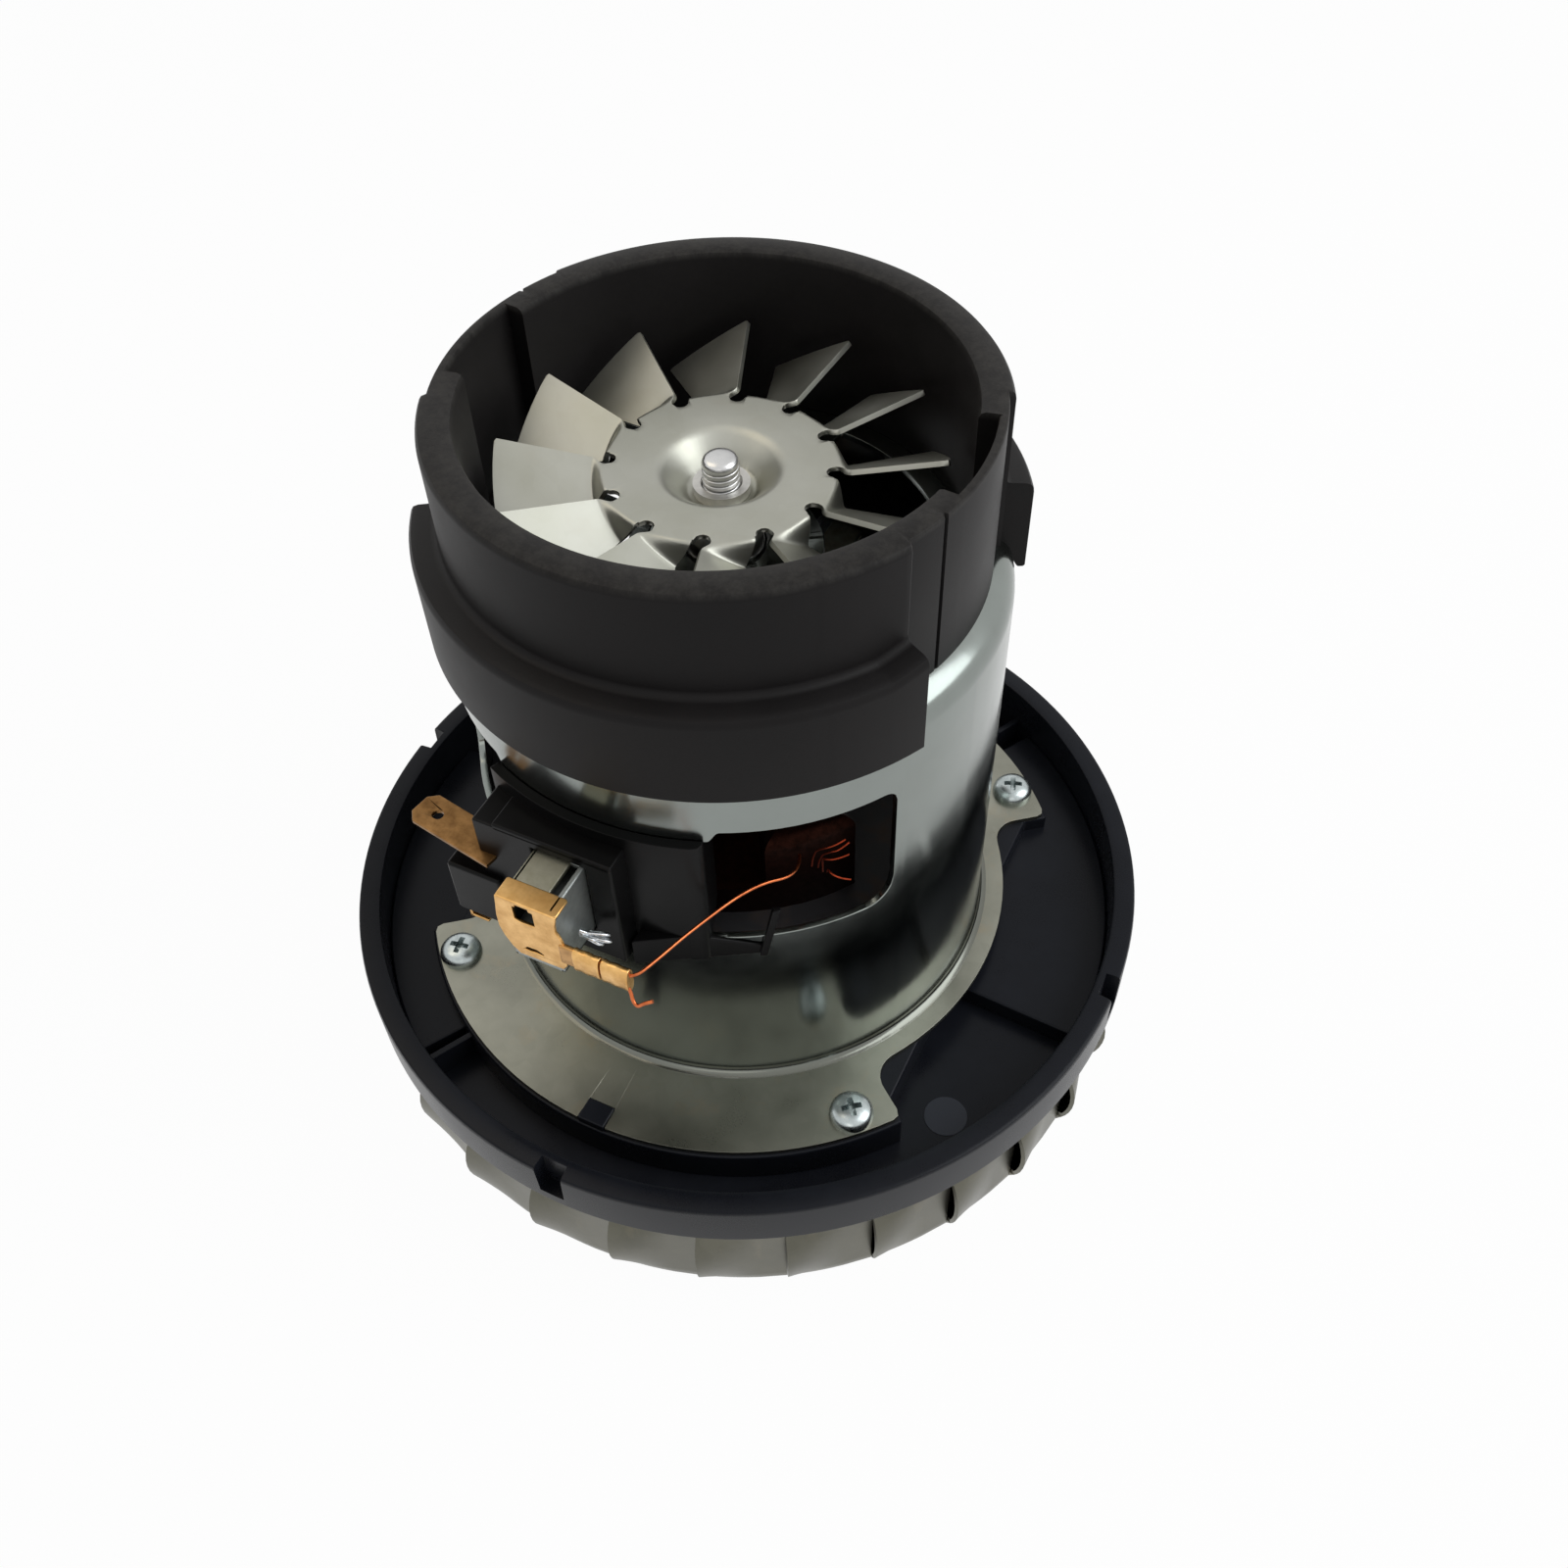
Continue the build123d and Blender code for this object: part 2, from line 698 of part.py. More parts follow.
# Cooling fan
def blade_section(reach, edge, lift, chord, pitch):
    """Cross-section of a blade, square to its upper edge, hanging from that edge by its pitch."""
    plane = Plane(origin=(reach, 0, 0), x_dir=(0, 1, 0), z_dir=(1, 0, 0))
    strip = Rectangle(chord, sheet_steel, align=(Align.MIN, Align.MAX))
    return plane * Pos(edge, hub_plane + lift) * Rot(0, 0, -pitch) * strip


def make_fan_blade():
    """Blade with a flat root on the hub, twisted out of the hub plane just outside it."""
    root = blade_section(fan_hub_radius, fan_root_edge, 0, fan_root_chord, 0)
    twist = blade_section(fan_twist_reach, fan_root_edge, fan_twist_lift, fan_twist_chord, fan_pitch_angle)
    tip = blade_section(fan_tip_radius, fan_tip_edge, fan_tip_lift, fan_tip_chord, fan_pitch_angle)
    flat = extrude(root, fan_root_reach - fan_hub_radius)
    blade = loft([root, twist, tip], ruled=True) & disc(fan_tip_radius, 0, cowl_top)
    return flat + blade


def make_cooling_fan():
    """Stamped fan: dished hub, relief notches and twelve pitched blades."""
    low = hub_plane - fan_dish_depth
    bore = bush_neck_radius + seat_gap
    outline = Polyline(
        (bore, low - sheet_steel),
        (fan_dish_floor_radius, low - sheet_steel),
        (fan_dish_radius, hub_plane - sheet_steel),
        (fan_hub_radius, hub_plane - sheet_steel),
        (fan_hub_radius, hub_plane),
        (fan_dish_radius - sheet_steel / 2, hub_plane),
        (fan_dish_floor_radius - sheet_steel / 2, low),
        (bore, low),
        close=True,
    )
    fan = revolve(Plane.XZ * make_face(outline), Axis.Z)
    fan += around(make_fan_blade(), fan_blade_count, fan_first_notch_angle)
    depth = 2 * sheet_steel + overrun
    notch = Pos(fan_notch_circle_radius, 0, hub_plane) * Cylinder(fan_notch_radius, depth)
    slot = Box(fan_notch_radius * 2, fan_notch_radius, depth)
    notch += Pos(fan_notch_circle_radius + fan_notch_radius, 0, hub_plane) * slot
    return fan - around(notch, fan_blade_count, fan_first_notch_angle)


def make_fan_bush():
    """Turned bush that carries the fan on the shaft end, with its riveted rim above the dished hub."""
    floor = hub_plane - fan_dish_depth
    bore = stub_radius + seat_gap
    bush = tube(bush_flange_radius, bore, shaft_shoulder, floor - sheet_steel)
    bush += tube(bush_neck_radius, bore, shaft_shoulder, floor + bush_rim)
    return bush + tube(bush_rim_radius, bore, floor, floor + bush_rim)


# Cowl
def make_fan_cowl():
    """Plastic cowl: stepped ring round the fan and two skirts that hang over the can."""
    ring = disc(cowl_outer_radius, can_top - can_shoulder, cowl_top)
    ring = fillet(ring.edges().group_by(Axis.Z)[-1], cowl_rim_round)
    flat = sector(cowl_flat_radius, cowl_outer_radius + overrun, can_top - 2 * can_shoulder,
                  cowl_top + overrun, cowl_flat_start_angle, cowl_flat_end_angle)
    ring -= both(flat)
    groove = sector(cowl_flat_radius - cowl_groove_depth, cowl_outer_radius, can_top - can_shoulder,
                    cowl_top + overrun, cowl_groove_start_angle, cowl_groove_end_angle)
    ring -= both(groove)
    bore = disc(cowl_inner_radius, can_top - 2 * can_shoulder, cowl_top + overrun)
    recess = sector(cowl_inner_radius / 2, cowl_recess_radius, can_top, cowl_top + overrun,
                    cowl_recess_start_angle, cowl_recess_end_angle)
    ring -= bore
    ring -= both(recess)
    skirt = sector(cowl_outer_radius - seat_gap, lobe_outer_radius, lobe_low, lobe_high,
                   lobe_start_angle, lobe_end_angle)
    skirt = fillet(skirt.edges().filter_by(GeomType.CIRCLE).group_by(Axis.Z)[-1].sort_by(Edge.length)[-1:],
                   lobe_round)
    skirt -= tube(lobe_inner_radius, cowl_inner_radius, lobe_low - overrun, lobe_high - lobe_roof)
    pad = sector(cowl_outer_radius, lobe_outer_radius - lobe_pad_inset, lobe_high - seat_gap,
                 lobe_high + lobe_pad_rise, lobe_pad_start_angle, lobe_end_angle)
    ring += both(skirt)
    ring += both(pad)
    return ring - make_can_envelope(seat_gap)


# Working fan
def make_vane():
    """Vane bent back against the turning direction, between the two discs."""
    sweep_angle = math.radians(vane_sweep_angle)
    start_radius = impeller_eye_radius + impeller_sheet
    end_radius = impeller_radius - impeller_sheet
    middle_radius = start_radius + (end_radius - start_radius) * vane_bulge_share
    middle_angle = sweep_angle * vane_bulge_angle_share
    line = ThreePointArc(
        (start_radius, 0),
        (middle_radius * math.cos(middle_angle), middle_radius * math.sin(middle_angle)),
        (end_radius * math.cos(sweep_angle), end_radius * math.sin(sweep_angle)),
    )
    height = impeller_top_disc_low - impeller_eye_disc_high
    return Pos(0, 0, impeller_eye_disc_high) * extrude(trace(line, impeller_sheet), height)


def make_impeller_top_disc():
    """Plain disc on the motor side of the working fan."""
    return tube(impeller_radius, shaft_radius + seat_gap, impeller_top_disc_low, impeller_top_disc_high)


def make_impeller_eye_disc():
    """Disc on the inlet side, open at the eye."""
    return tube(impeller_radius, impeller_eye_radius, impeller_eye_disc_low, impeller_eye_disc_high)


def make_impeller_washers():
    """Two stiff washers that clamp the top disc."""
    bore = shaft_radius + seat_gap
    upper = tube(impeller_washer_radius, bore, impeller_top_disc_high,
                 impeller_top_disc_high + impeller_washer_thickness)
    lower = tube(impeller_washer_radius, bore, impeller_top_disc_low - impeller_washer_thickness,
                 impeller_top_disc_low)
    return [upper, lower]


def make_impeller_nut():
    """Hexagon nut on the lower end of the shaft."""
    high = impeller_top_disc_low - impeller_washer_thickness
    outline = RegularPolygon(impeller_nut_radius, 6) - Circle(shaft_radius + seat_gap)
    return Pos(0, 0, high - impeller_nut_height) * extrude(outline, impeller_nut_height)


# Brush gear, front set
def make_brush():
    """Carbon brush with its end worn to the commutator."""
    half_width = brush_width / 2
    half_depth = brush_depth / 2
    brush = block(
        (brush_offset - half_width, brush_offset + half_width),
        (commutator_radius / 2, brush_inner + brush_length),
        (brush_height - half_depth, brush_height + half_depth),
    )
    return brush - disc(brush_inner, 0, can_top)


def make_brush_box(grow=0.0):
    """Steel tube that guides the brush, or its solid outside grown by a gap."""
    half_width = box_half_width + grow
    half_depth = box_half_depth + grow
    return block(
        (brush_offset - half_width, brush_offset + half_width),
        (box_inner_end, box_outer_end),
        (brush_height - half_depth, brush_height + half_depth),
    )


def make_hollow_brush_box():
    """Brush box with its bore and the slot that lets the shunt travel."""
    half_width = brush_width / 2 + brush_slide_gap
    half_depth = brush_depth / 2 + brush_slide_gap
    bore = block(
        (brush_offset - half_width, brush_offset + half_width),
        (box_inner_end - overrun, box_outer_end + overrun),
        (brush_height - half_depth, brush_height + half_depth),
    )
    slot_right = brush_offset + half_width
    slot = block((slot_right - box_slot_width, slot_right), (box_slot_inner, box_slot_outer),
                 (brush_height, box_top + overrun))
    return make_brush_box() - bore - slot


def make_brush_spring():
    """Space of the coil spring between the brush and the bracket."""
    start = brush_inner + brush_length
    length = box_outer_end - start
    spring = Cylinder(spring_radius, length) - Cylinder(spring_radius - spring_wall, length)
    spring = Pos(brush_offset, -(start + length / 2), brush_height) * Rot(90, 0, 0) * spring
    return spring


def make_tab_terminal(grow=0.0):
    """Flat push-on tab that leaves the holder sideways, or its slot when grown by a gap."""
    thickness = tab_thickness + 2 * grow
    outline = Rectangle(tab_length, tab_width + 2 * grow, align=(Align.MAX, Align.CENTER))
    corners = outline.vertices().group_by(Axis.X)[0]
    outline = chamfer(corners, tab_chamfer)
    if not grow:
        outline -= Pos(tab_hole_inset - tab_length, 0) * Circle(tab_hole_radius)
    tab = Pos(0, 0, -thickness / 2) * extrude(outline, thickness)
    return Pos(tab_root, -tab_root_out, tab_height) * Rot(0, 0, -tab_turn_angle) * tab


def make_terminal_tail(grow=0.0):
    """Strip that comes out of the bottom of the block, with a turned foot, or its slot."""
    left = tail_left
    right = left + brass_strip
    out_low = tail_out - tail_width / 2
    out_high = tail_out + tail_width / 2
    bottom = block_low - tail_drop
    leg = block((left - grow, right + grow), (out_low - grow, out_high + grow),
                (bottom, block_high - tail_foot))
    if grow:
        return leg
    foot = block((left, left + tail_foot), (out_low, out_high), (bottom, bottom + brass_strip))
    return leg + foot


def make_holder_foot():
    """Wedge that braces the holder against the can wall, with a slanted rib at its end."""
    plan = Polyline(
        (foot_left, -foot_left_out),
        (foot_right, -foot_right_out),
        (foot_right, -holder_inner_radius),
        (foot_left, -holder_inner_radius),
        close=True,
    )
    wedge = Pos(0, 0, foot_low) * extrude(make_face(plan), foot_high - foot_low)
    side = Polyline(
        (foot_left, foot_low),
        (foot_right, foot_low),
        (foot_right, foot_end_high),
        (foot_slope_start, foot_high),
        (foot_left, foot_high),
        close=True,
    )
    wedge &= extrude(Plane.XZ * make_face(side), foot_left_out + overrun)
    rib = Box(foot_rib_thickness, foot_rib_width, foot_rib_top - foot_low)
    rib_radius = can_radius + seat_gap + foot_rib_thickness / 2
    rib = Pos(rib_radius, 0, (foot_low + foot_rib_top) / 2) * Rot(-foot_rib_tilt_angle, 0, 0) * rib
    return wedge + Rot(0, 0, foot_rib_angle) * rib


def make_brush_holder():
    """Moulded holder: a curved body in the can window, a hood round the box, a terminal block, a foot."""
    body = sector(holder_inner_radius, holder_outer_radius, foot_low, holder_top,
                  holder_start_angle, holder_end_angle)
    body = fillet(body.edges().filter_by(Axis.Z).sort_by(Axis.X)[-1], holder_round)
    hood = block((hood_left, hood_right), (holder_inner_radius, hood_face), (hood_low, hood_top))
    hood -= block((hood_left - overrun, hood_step_left), (holder_outer_radius, hood_face + overrun),
                  (hood_top - hood_step_drop, hood_top + overrun))
    stand = block((block_left, block_right), (block_inner, block_face), (block_low, block_high))
    low_edge = stand.edges().filter_by(Axis.Y).group_by(Axis.X)[0].sort_by(Axis.Z)[0]
    stand = chamfer(low_edge, block_chamfer)
    sleeve = block(
        (brush_offset - box_half_width - sleeve_wall, brush_offset + box_half_width + sleeve_wall),
        (sleeve_inner_end, sleeve_outer_end),
        (box_low - sleeve_wall, box_top + sleeve_wall),
    )
    holder = body + hood + stand + sleeve + make_holder_foot()
    holder -= disc(can_radius + seat_gap, 0, window_opening_low)
    holder -= tube(can_radius + seat_gap, can_inner_radius - seat_gap, window_lintel - running_gap, can_top)
    holder -= make_brush_box(seat_gap)
    holder -= make_tab_terminal(seat_gap)
    holder -= make_terminal_tail(seat_gap)
    return holder


def make_brush_bracket():
    """Brass clip over the end of the box: lip, end plate with window and slot, and lead arm."""
    plate_inner = box_outer_end
    plate_outer = box_outer_end + brass_strip
    points = [
        (bracket_left, bracket_high),
        (bracket_left, bracket_low + 2 * bracket_taper),
        (bracket_left + bracket_taper, bracket_low),
        (bracket_right, bracket_low),
        (bracket_right + bracket_waist / 2, bracket_low + bracket_window_drop),
        (bracket_right - bracket_waist / 2, bracket_high - bracket_window_drop + bracket_waist),
        (bracket_right, bracket_high),
    ]
    face = make_face(Polyline(*points, close=True))
    through = (plate_inner - overrun, plate_outer + overrun)
    window = block((bracket_window_left, bracket_window_right), through,
                   (bracket_high - bracket_window_drop, bracket_high - brass_strip))
    slot = block((bracket_slot_left, bracket_slot_right), through, (bracket_slot_low, bracket_slot_high))
    plate = Pos(0, -plate_inner, 0) * extrude(Plane.XZ * face, brass_strip)
    lip = block((bracket_left, bracket_right), (bracket_lip_inner, plate_outer), (box_top, bracket_high))
    lip = fillet(lip.edges().filter_by(Axis.Z).group_by(Axis.Y)[-1], bracket_corner)
    arm = block((bracket_right - bracket_corner, arm_end), (plate_inner, plate_outer), (arm_low, arm_high))
    return plate + lip + arm - window - slot


def make_lead_crimp():
    """Folded brass barrel on the arm of the bracket, which grips the bare end of the field lead."""
    inner_face = box_outer_end - seat_gap
    outer_face = box_outer_end + brass_strip + crimp_play + seat_gap
    low = arm_low - seat_gap
    high = arm_high + seat_gap
    end = arm_end + crimp_play
    barrel = block((crimp_start, end), (inner_face - crimp_wall, outer_face + crimp_wall),
                   (low - crimp_wall, high + crimp_wall))
    barrel = fillet(barrel.edges().filter_by(Axis.X), crimp_wall)
    return barrel - block((crimp_start - overrun, end + overrun), (inner_face, outer_face), (low, high))


def make_front_set():
    """Every piece of the front brush gear, by the name of its kind."""
    return {
        "carbon_brush": make_brush(),
        "brush_box": make_hollow_brush_box(),
        "brush_spring": make_brush_spring(),
        "brush_holder": make_brush_holder(),
        "brush_bracket": make_brush_bracket(),
        "lead_crimp": make_lead_crimp(),
        "tab_terminal": make_tab_terminal(),
        "terminal_tail": make_terminal_tail(),
        "field_lead": route_wire(lead_route, lead_radius),
        "brush_shunt": route_wire(shunt_route, shunt_radius),
        "field_coil": make_field_coil(),
    }


def make_parts():
    """All pieces of the motor unit, by name."""
    parts = {
        "air_dish": make_air_dish(),
        "motor_can": make_motor_can(),
        "lower_bearing_plate": make_lower_bearing_plate(),
        "flange_screws": make_flange_screws(),
        "louvred_cup": make_louvred_cup(),
        "rotor_shaft": make_rotor_shaft(),
        "stator_core": make_stator_core(),
        "armature_core": make_armature_core(),
        "armature_windings": make_armature_windings(),
        "commutator": make_commutator(),
        "cooling_fan": make_cooling_fan(),
        "fan_bush": make_fan_bush(),
        "fan_cowl": make_fan_cowl(),
        "impeller_vanes": around(make_vane(), vane_count),
        "impeller_top_disc": make_impeller_top_disc(),
        "impeller_eye_disc": make_impeller_eye_disc(),
        "impeller_washers": make_impeller_washers(),
        "impeller_nut": make_impeller_nut(),
    }
    for name, low in (("upper", upper_bearing_low), ("lower", lower_bearing_low)):
        outer, inner = make_bearing_rings(low)
        parts[f"{name}_bearing_outer"] = outer
        parts[f"{name}_bearing_inner"] = inner
    bore = shaft_radius + seat_gap
    parts["impeller_spacer"] = tube(spacer_radius, bore, impeller_top_disc_high + impeller_washer_thickness,
                                    lower_bearing_low)
    parts["lower_spacer"] = tube(spacer_radius, bore, lower_bearing_high, stack_low)
    parts["upper_spacer"] = tube(spacer_radius, bore, commutator_high, upper_bearing_low)
    parts["fan_spacer"] = tube(spacer_radius, bore, upper_bearing_high, shaft_shoulder)
    for kind, front in make_front_set().items():
        parts[f"front_{kind}"] = front
        parts[f"rear_{kind}"] = Rot(0, 0, 180) * front
    return parts


def write_parts(parts):
    """One STEP file for each piece."""
    os.makedirs("parts", exist_ok=True)
    for name, piece in parts.items():
        solids = piece if isinstance(piece, list) else [piece]
        node = Compound(children=[s for solid in solids for s in solid.solids()])
        node.label = name
        export_step(node, f"parts/{name}.step")
    print(len(parts), "pieces written")


write_parts(make_parts())
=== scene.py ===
# %% [markdown]
# # Vacuum motor unit
# A bypass vacuum motor seen from above: a stamped cooling fan in a black cowl, a drawn steel can with
# brush gear in its windows, a glossy black dish and a steel cup with louvres all round.
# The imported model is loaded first. It is the frame that every piece below is fitted to. Blender works
# in metres, and the sizes below are in millimetres, because that is how such a motor is drawn.

# %% Load the frame
import json
import math

import bmesh
import bpy
from mathutils import Matrix, Vector


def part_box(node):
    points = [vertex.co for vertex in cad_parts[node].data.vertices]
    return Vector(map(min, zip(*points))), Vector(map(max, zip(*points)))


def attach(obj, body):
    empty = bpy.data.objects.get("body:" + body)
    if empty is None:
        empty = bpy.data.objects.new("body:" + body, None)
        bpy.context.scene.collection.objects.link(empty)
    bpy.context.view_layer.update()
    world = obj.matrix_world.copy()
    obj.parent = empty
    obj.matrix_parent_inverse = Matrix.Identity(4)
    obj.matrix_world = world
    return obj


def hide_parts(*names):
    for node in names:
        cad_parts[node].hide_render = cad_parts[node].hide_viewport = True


MM = 0.001
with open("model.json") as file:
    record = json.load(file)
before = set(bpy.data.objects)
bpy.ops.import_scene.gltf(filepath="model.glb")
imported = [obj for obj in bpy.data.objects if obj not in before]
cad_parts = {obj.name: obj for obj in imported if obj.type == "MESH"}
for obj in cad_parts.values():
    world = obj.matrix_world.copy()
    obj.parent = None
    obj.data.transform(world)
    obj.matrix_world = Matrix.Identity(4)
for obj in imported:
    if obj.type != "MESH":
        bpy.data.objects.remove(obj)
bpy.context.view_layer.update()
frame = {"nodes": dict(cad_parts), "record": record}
nodes = frame["nodes"]

# %% [markdown]
# ## Writing shader maths as plain expressions
# A finish is mostly arithmetic on noise: darker here, rougher there. The small class below wraps a
# socket, so that `0.3 + 0.1 * grain` adds the Math nodes by itself. A second class adds any node to a
# tree, and a third holds one material.

# %% Sockets that can be added and multiplied
class Amount:
    """A number or a colour that changes over a surface."""

    def __init__(self, maker, socket):
        self.maker = maker
        self.socket = socket

    def combine(self, operation, first, second=0.0):
        return self.maker.add("ShaderNodeMath", {"operation": operation}, {0: first, 1: second})

    def __add__(self, other):
        return self.combine("ADD", self, other)

    def __radd__(self, other):
        return self.combine("ADD", other, self)

    def __sub__(self, other):
        return self.combine("SUBTRACT", self, other)

    def __rsub__(self, other):
        return self.combine("SUBTRACT", other, self)

    def __mul__(self, other):
        return self.combine("MULTIPLY", self, other)

    def __rmul__(self, other):
        return self.combine("MULTIPLY", other, self)

    def sine(self):
        return self.combine("SINE", self)

    def larger(self, other):
        return self.combine("MAXIMUM", self, other)

    def clear_range(self, low, high):
        """0 below low, 1 above high, and a straight rise between them."""
        values = {"Value": self, "From Min": low, "From Max": high}
        return self.maker.add("ShaderNodeMapRange", {"clamp": True}, values)


# %% Any node in one method
class NodeMaker:
    """Adds nodes to one tree, of a material or of the world."""

    def __init__(self, tree):
        self.tree = tree

    def add(self, kind, settings=None, inputs=None, output=0):
        """Adds a node, sets it up, fills its sockets and returns one output."""
        node = self.tree.nodes.new(kind)
        for words, value in (settings or {}).items():
            setattr(node, words, value)
        for socket, value in (inputs or {}).items():
            if isinstance(value, Amount):
                self.tree.links.new(value.socket, node.inputs[socket])
            else:
                node.inputs[socket].default_value = value
        return Amount(self, node.outputs[output])

    def end_in(self, shader):
        """Makes a shader the surface of the material or the world."""
        end = next(node for node in self.tree.nodes if node.bl_idname.startswith("ShaderNodeOutput"))
        self.tree.links.new(shader.socket, end.inputs["Surface"])


# %% One material and its nodes
class Finish(NodeMaker):
    """A Principled material that is filled in node by node."""

    def __init__(self, name, **constants):
        self.material = bpy.data.materials.new(name)
        self.material.use_nodes = True
        super().__init__(self.material.node_tree)
        self.shader = self.tree.nodes["Principled BSDF"]
        for words, value in constants.items():
            self.shader.inputs[words.replace("_", " ").title().replace("Ior", "IOR")].default_value = value
        print("finish", name)

    def place(self, stretch=(1, 1, 1)):
        """The place on the object in millimetres, scaled along each axis."""
        where = self.add("ShaderNodeTexCoord", output="Object")
        scale = tuple(s / MM for s in stretch)
        return self.add("ShaderNodeMapping", {}, {"Vector": where, "Scale": scale})

    def axis(self, letter):
        """One coordinate in millimetres."""
        where = self.place()
        return self.add("ShaderNodeSeparateXYZ", {}, {0: where}, output=letter)

    def noise(self, size, detail=3.0, stretch=(1, 1, 1), rough=0.5):
        """Cloudy noise whose blotches are about size millimetres wide."""
        inputs = {"Vector": self.place(stretch), "Scale": 1 / size, "Detail": detail, "Roughness": rough}
        return self.add("ShaderNodeTexNoise", {}, inputs)

    def cells(self, size):
        """Flat patches of different brightness, size millimetres wide."""
        inputs = {"Vector": self.place(), "Scale": 1 / size}
        colour = self.add("ShaderNodeTexVoronoi", {}, inputs, output="Color")
        return self.add("ShaderNodeSeparateColor", {}, {0: colour})

    def waves(self, spacing):
        """Even rings along the motor axis, spacing millimetres apart."""
        return (self.axis("Z") * (2 * math.pi / spacing)).sine()

    def blend(self, share, first, second):
        """A colour between two, by a share from 0 to 1."""
        colour_sockets, colour_result = (6, 7), 2
        inputs = {0: share}
        for socket, colour in zip(colour_sockets, (first, second)):
            inputs[socket] = colour if isinstance(colour, Amount) else (*colour, 1)
        return self.add("ShaderNodeMix", {"data_type": "RGBA"}, inputs, colour_result)

    def feed(self, socket, value):
        self.tree.links.new(value.socket, self.shader.inputs[socket])

    def bump(self, height, depth):
        """Raises the surface by height times depth in millimetres."""
        inputs = {"Height": height, "Distance": depth * MM, "Strength": 1.0}
        return self.add("ShaderNodeBump", {}, inputs)


# %% [markdown]
# ## Zinc-coated sheet
# The can, fan and cup are pressed from hot-dipped steel. Its zinc has crystals a few millimetres wide
# that reflect a little differently, cloudy stains, and faint streaks where the die drew the sheet. It
# reflects a soft, unsharp picture of the room, so the roughness is what makes it look like zinc.

# %% Zinc finishes
cloud_size, crystal_size, stain_size, streak_size, zinc_grain_size = 16.0, 2.6, 9.0, 0.6, 0.35
crystal_share, crystal_gain, crystal_base = 0.25, 0.5, 0.25
streak_stretch, zinc_relief = (1, 1, 0.02), 0.006
stain_brown, stain_stretch = (0.30, 0.25, 0.17), (1, 1, 0.35)
# Painted shade darkens the can in the crease where its wall meets the flange.
foot_shade_grey, foot_shade_fade = (0.12, 0.12, 0.10), 3.0


def zinc_sheet(name, tone, dark, roughness, streaks=0.0, stains=0.0, shade_below=None):
    """Galvanised steel: tone is the plain colour, dark that of its clouds, with painted shade below a
    height.
    """
    finish = Finish(name, metallic=1.0)
    clouds = finish.noise(cloud_size, detail=4.0).clear_range(low=0.36, high=0.68)
    crystals = finish.cells(crystal_size) * crystal_gain + crystal_base
    share = clouds * (1 - crystal_share) + crystals * crystal_share
    colour = finish.blend(share, dark, tone)
    if stains:
        spots = finish.noise(stain_size, detail=5.0, stretch=stain_stretch, rough=0.65)
        colour = finish.blend(spots.clear_range(low=0.56, high=0.74) * stains, colour, stain_brown)
    # Painted shade: darker below a height in mm, in the crease at the foot of the can.
    if shade_below is not None:
        clean = finish.axis("Z").clear_range(shade_below - foot_shade_fade, shade_below)
        colour = finish.blend(clean, foot_shade_grey, colour)
    finish.feed("Base Color", colour)
    lines = finish.noise(streak_size, detail=2.0, stretch=streak_stretch)
    grain = finish.noise(zinc_grain_size)
    cloud_rough, grain_rough, line_rough = 0.09, 0.05, 0.12 * streaks
    rough = roughness + cloud_rough * (clouds - 0.5) + grain_rough * grain + line_rough * lines
    finish.feed("Roughness", rough)
    finish.feed("Normal", finish.bump(grain * 0.5 + lines * streaks, zinc_relief))
    return finish.material


# The can gets painted shade below 34 mm, where it meets the flange.
can_zinc = zinc_sheet("can_zinc", (0.26, 0.285, 0.27), (0.225, 0.245, 0.23), 0.155, streaks=0.2,
                      shade_below=34.0)
flange_zinc = zinc_sheet("flange_zinc", (0.31, 0.31, 0.26), (0.20, 0.20, 0.165), 0.30, stains=0.5)
fan_zinc = zinc_sheet("fan_zinc", (0.42, 0.42, 0.38), (0.34, 0.34, 0.29), 0.38, stains=0.1)
cup_zinc = zinc_sheet("cup_zinc", (0.16, 0.155, 0.125), (0.10, 0.098, 0.078), 0.34, stains=0.3)

# %% [markdown]
# ## Black plastics
# The cowl is a glass-filled plastic: nearly black, dull, with a fine grain, and rubbed grey along its
# rim. The dish and the brush holders are glossier. The dish is black, with a slight blue tint that is a
# painted sheen of the bluish daylight.

# %% Plastic finishes
patch_size, plastic_grain_size, speck_size, rub_size = 14.0, 0.28, 0.9, 3.0
smudge_share, speck_share, speck_gain, wear_share = 0.5, 0.35, 3.2, 0.55
worn_grey, wear_fade, rub_stretch = (0.085, 0.08, 0.073), 0.4, (1, 1, 0.2)
patch_rough, plastic_grain_rough, wear_rough, least_wear = 0.10, 0.06, 0.12, 0.2


def black_plastic(name, colour, pale, roughness, grain_depth, gloss, worn_above=None):
    """Moulded black plastic with grain, smudges and, above a height in mm, rubbed grey wear."""
    finish = Finish(name, specular_ior_level=gloss)
    patches = finish.noise(patch_size, detail=5.0, rough=0.6).clear_range(low=0.38, high=0.72)
    shade = finish.blend(patches * smudge_share, colour, pale)
    rough = roughness + patch_rough * patches * smudge_share
    grain = finish.noise(plastic_grain_size, detail=4.0, rough=0.6)
    specks = finish.noise(speck_size, detail=6.0, rough=0.75).clear_range(low=0.68, high=0.76)
    shade = finish.blend(specks * speck_share, shade, tuple(speck_gain * c for c in pale))
    if worn_above is not None:
        height = finish.axis("Z").clear_range(worn_above - wear_fade, worn_above + wear_fade)
        rubbed = finish.noise(rub_size, detail=7.0, stretch=rub_stretch, rough=0.75)
        wear = height * (least_wear + (1 - least_wear) * rubbed.clear_range(low=0.40, high=0.70))
        shade = finish.blend(wear * wear_share, shade, worn_grey)
        rough = rough + wear_rough * wear
    finish.feed("Base Color", shade)
    finish.feed("Roughness", rough + plastic_grain_rough * grain)
    finish.feed("Normal", finish.bump(grain, grain_depth))
    return finish.material


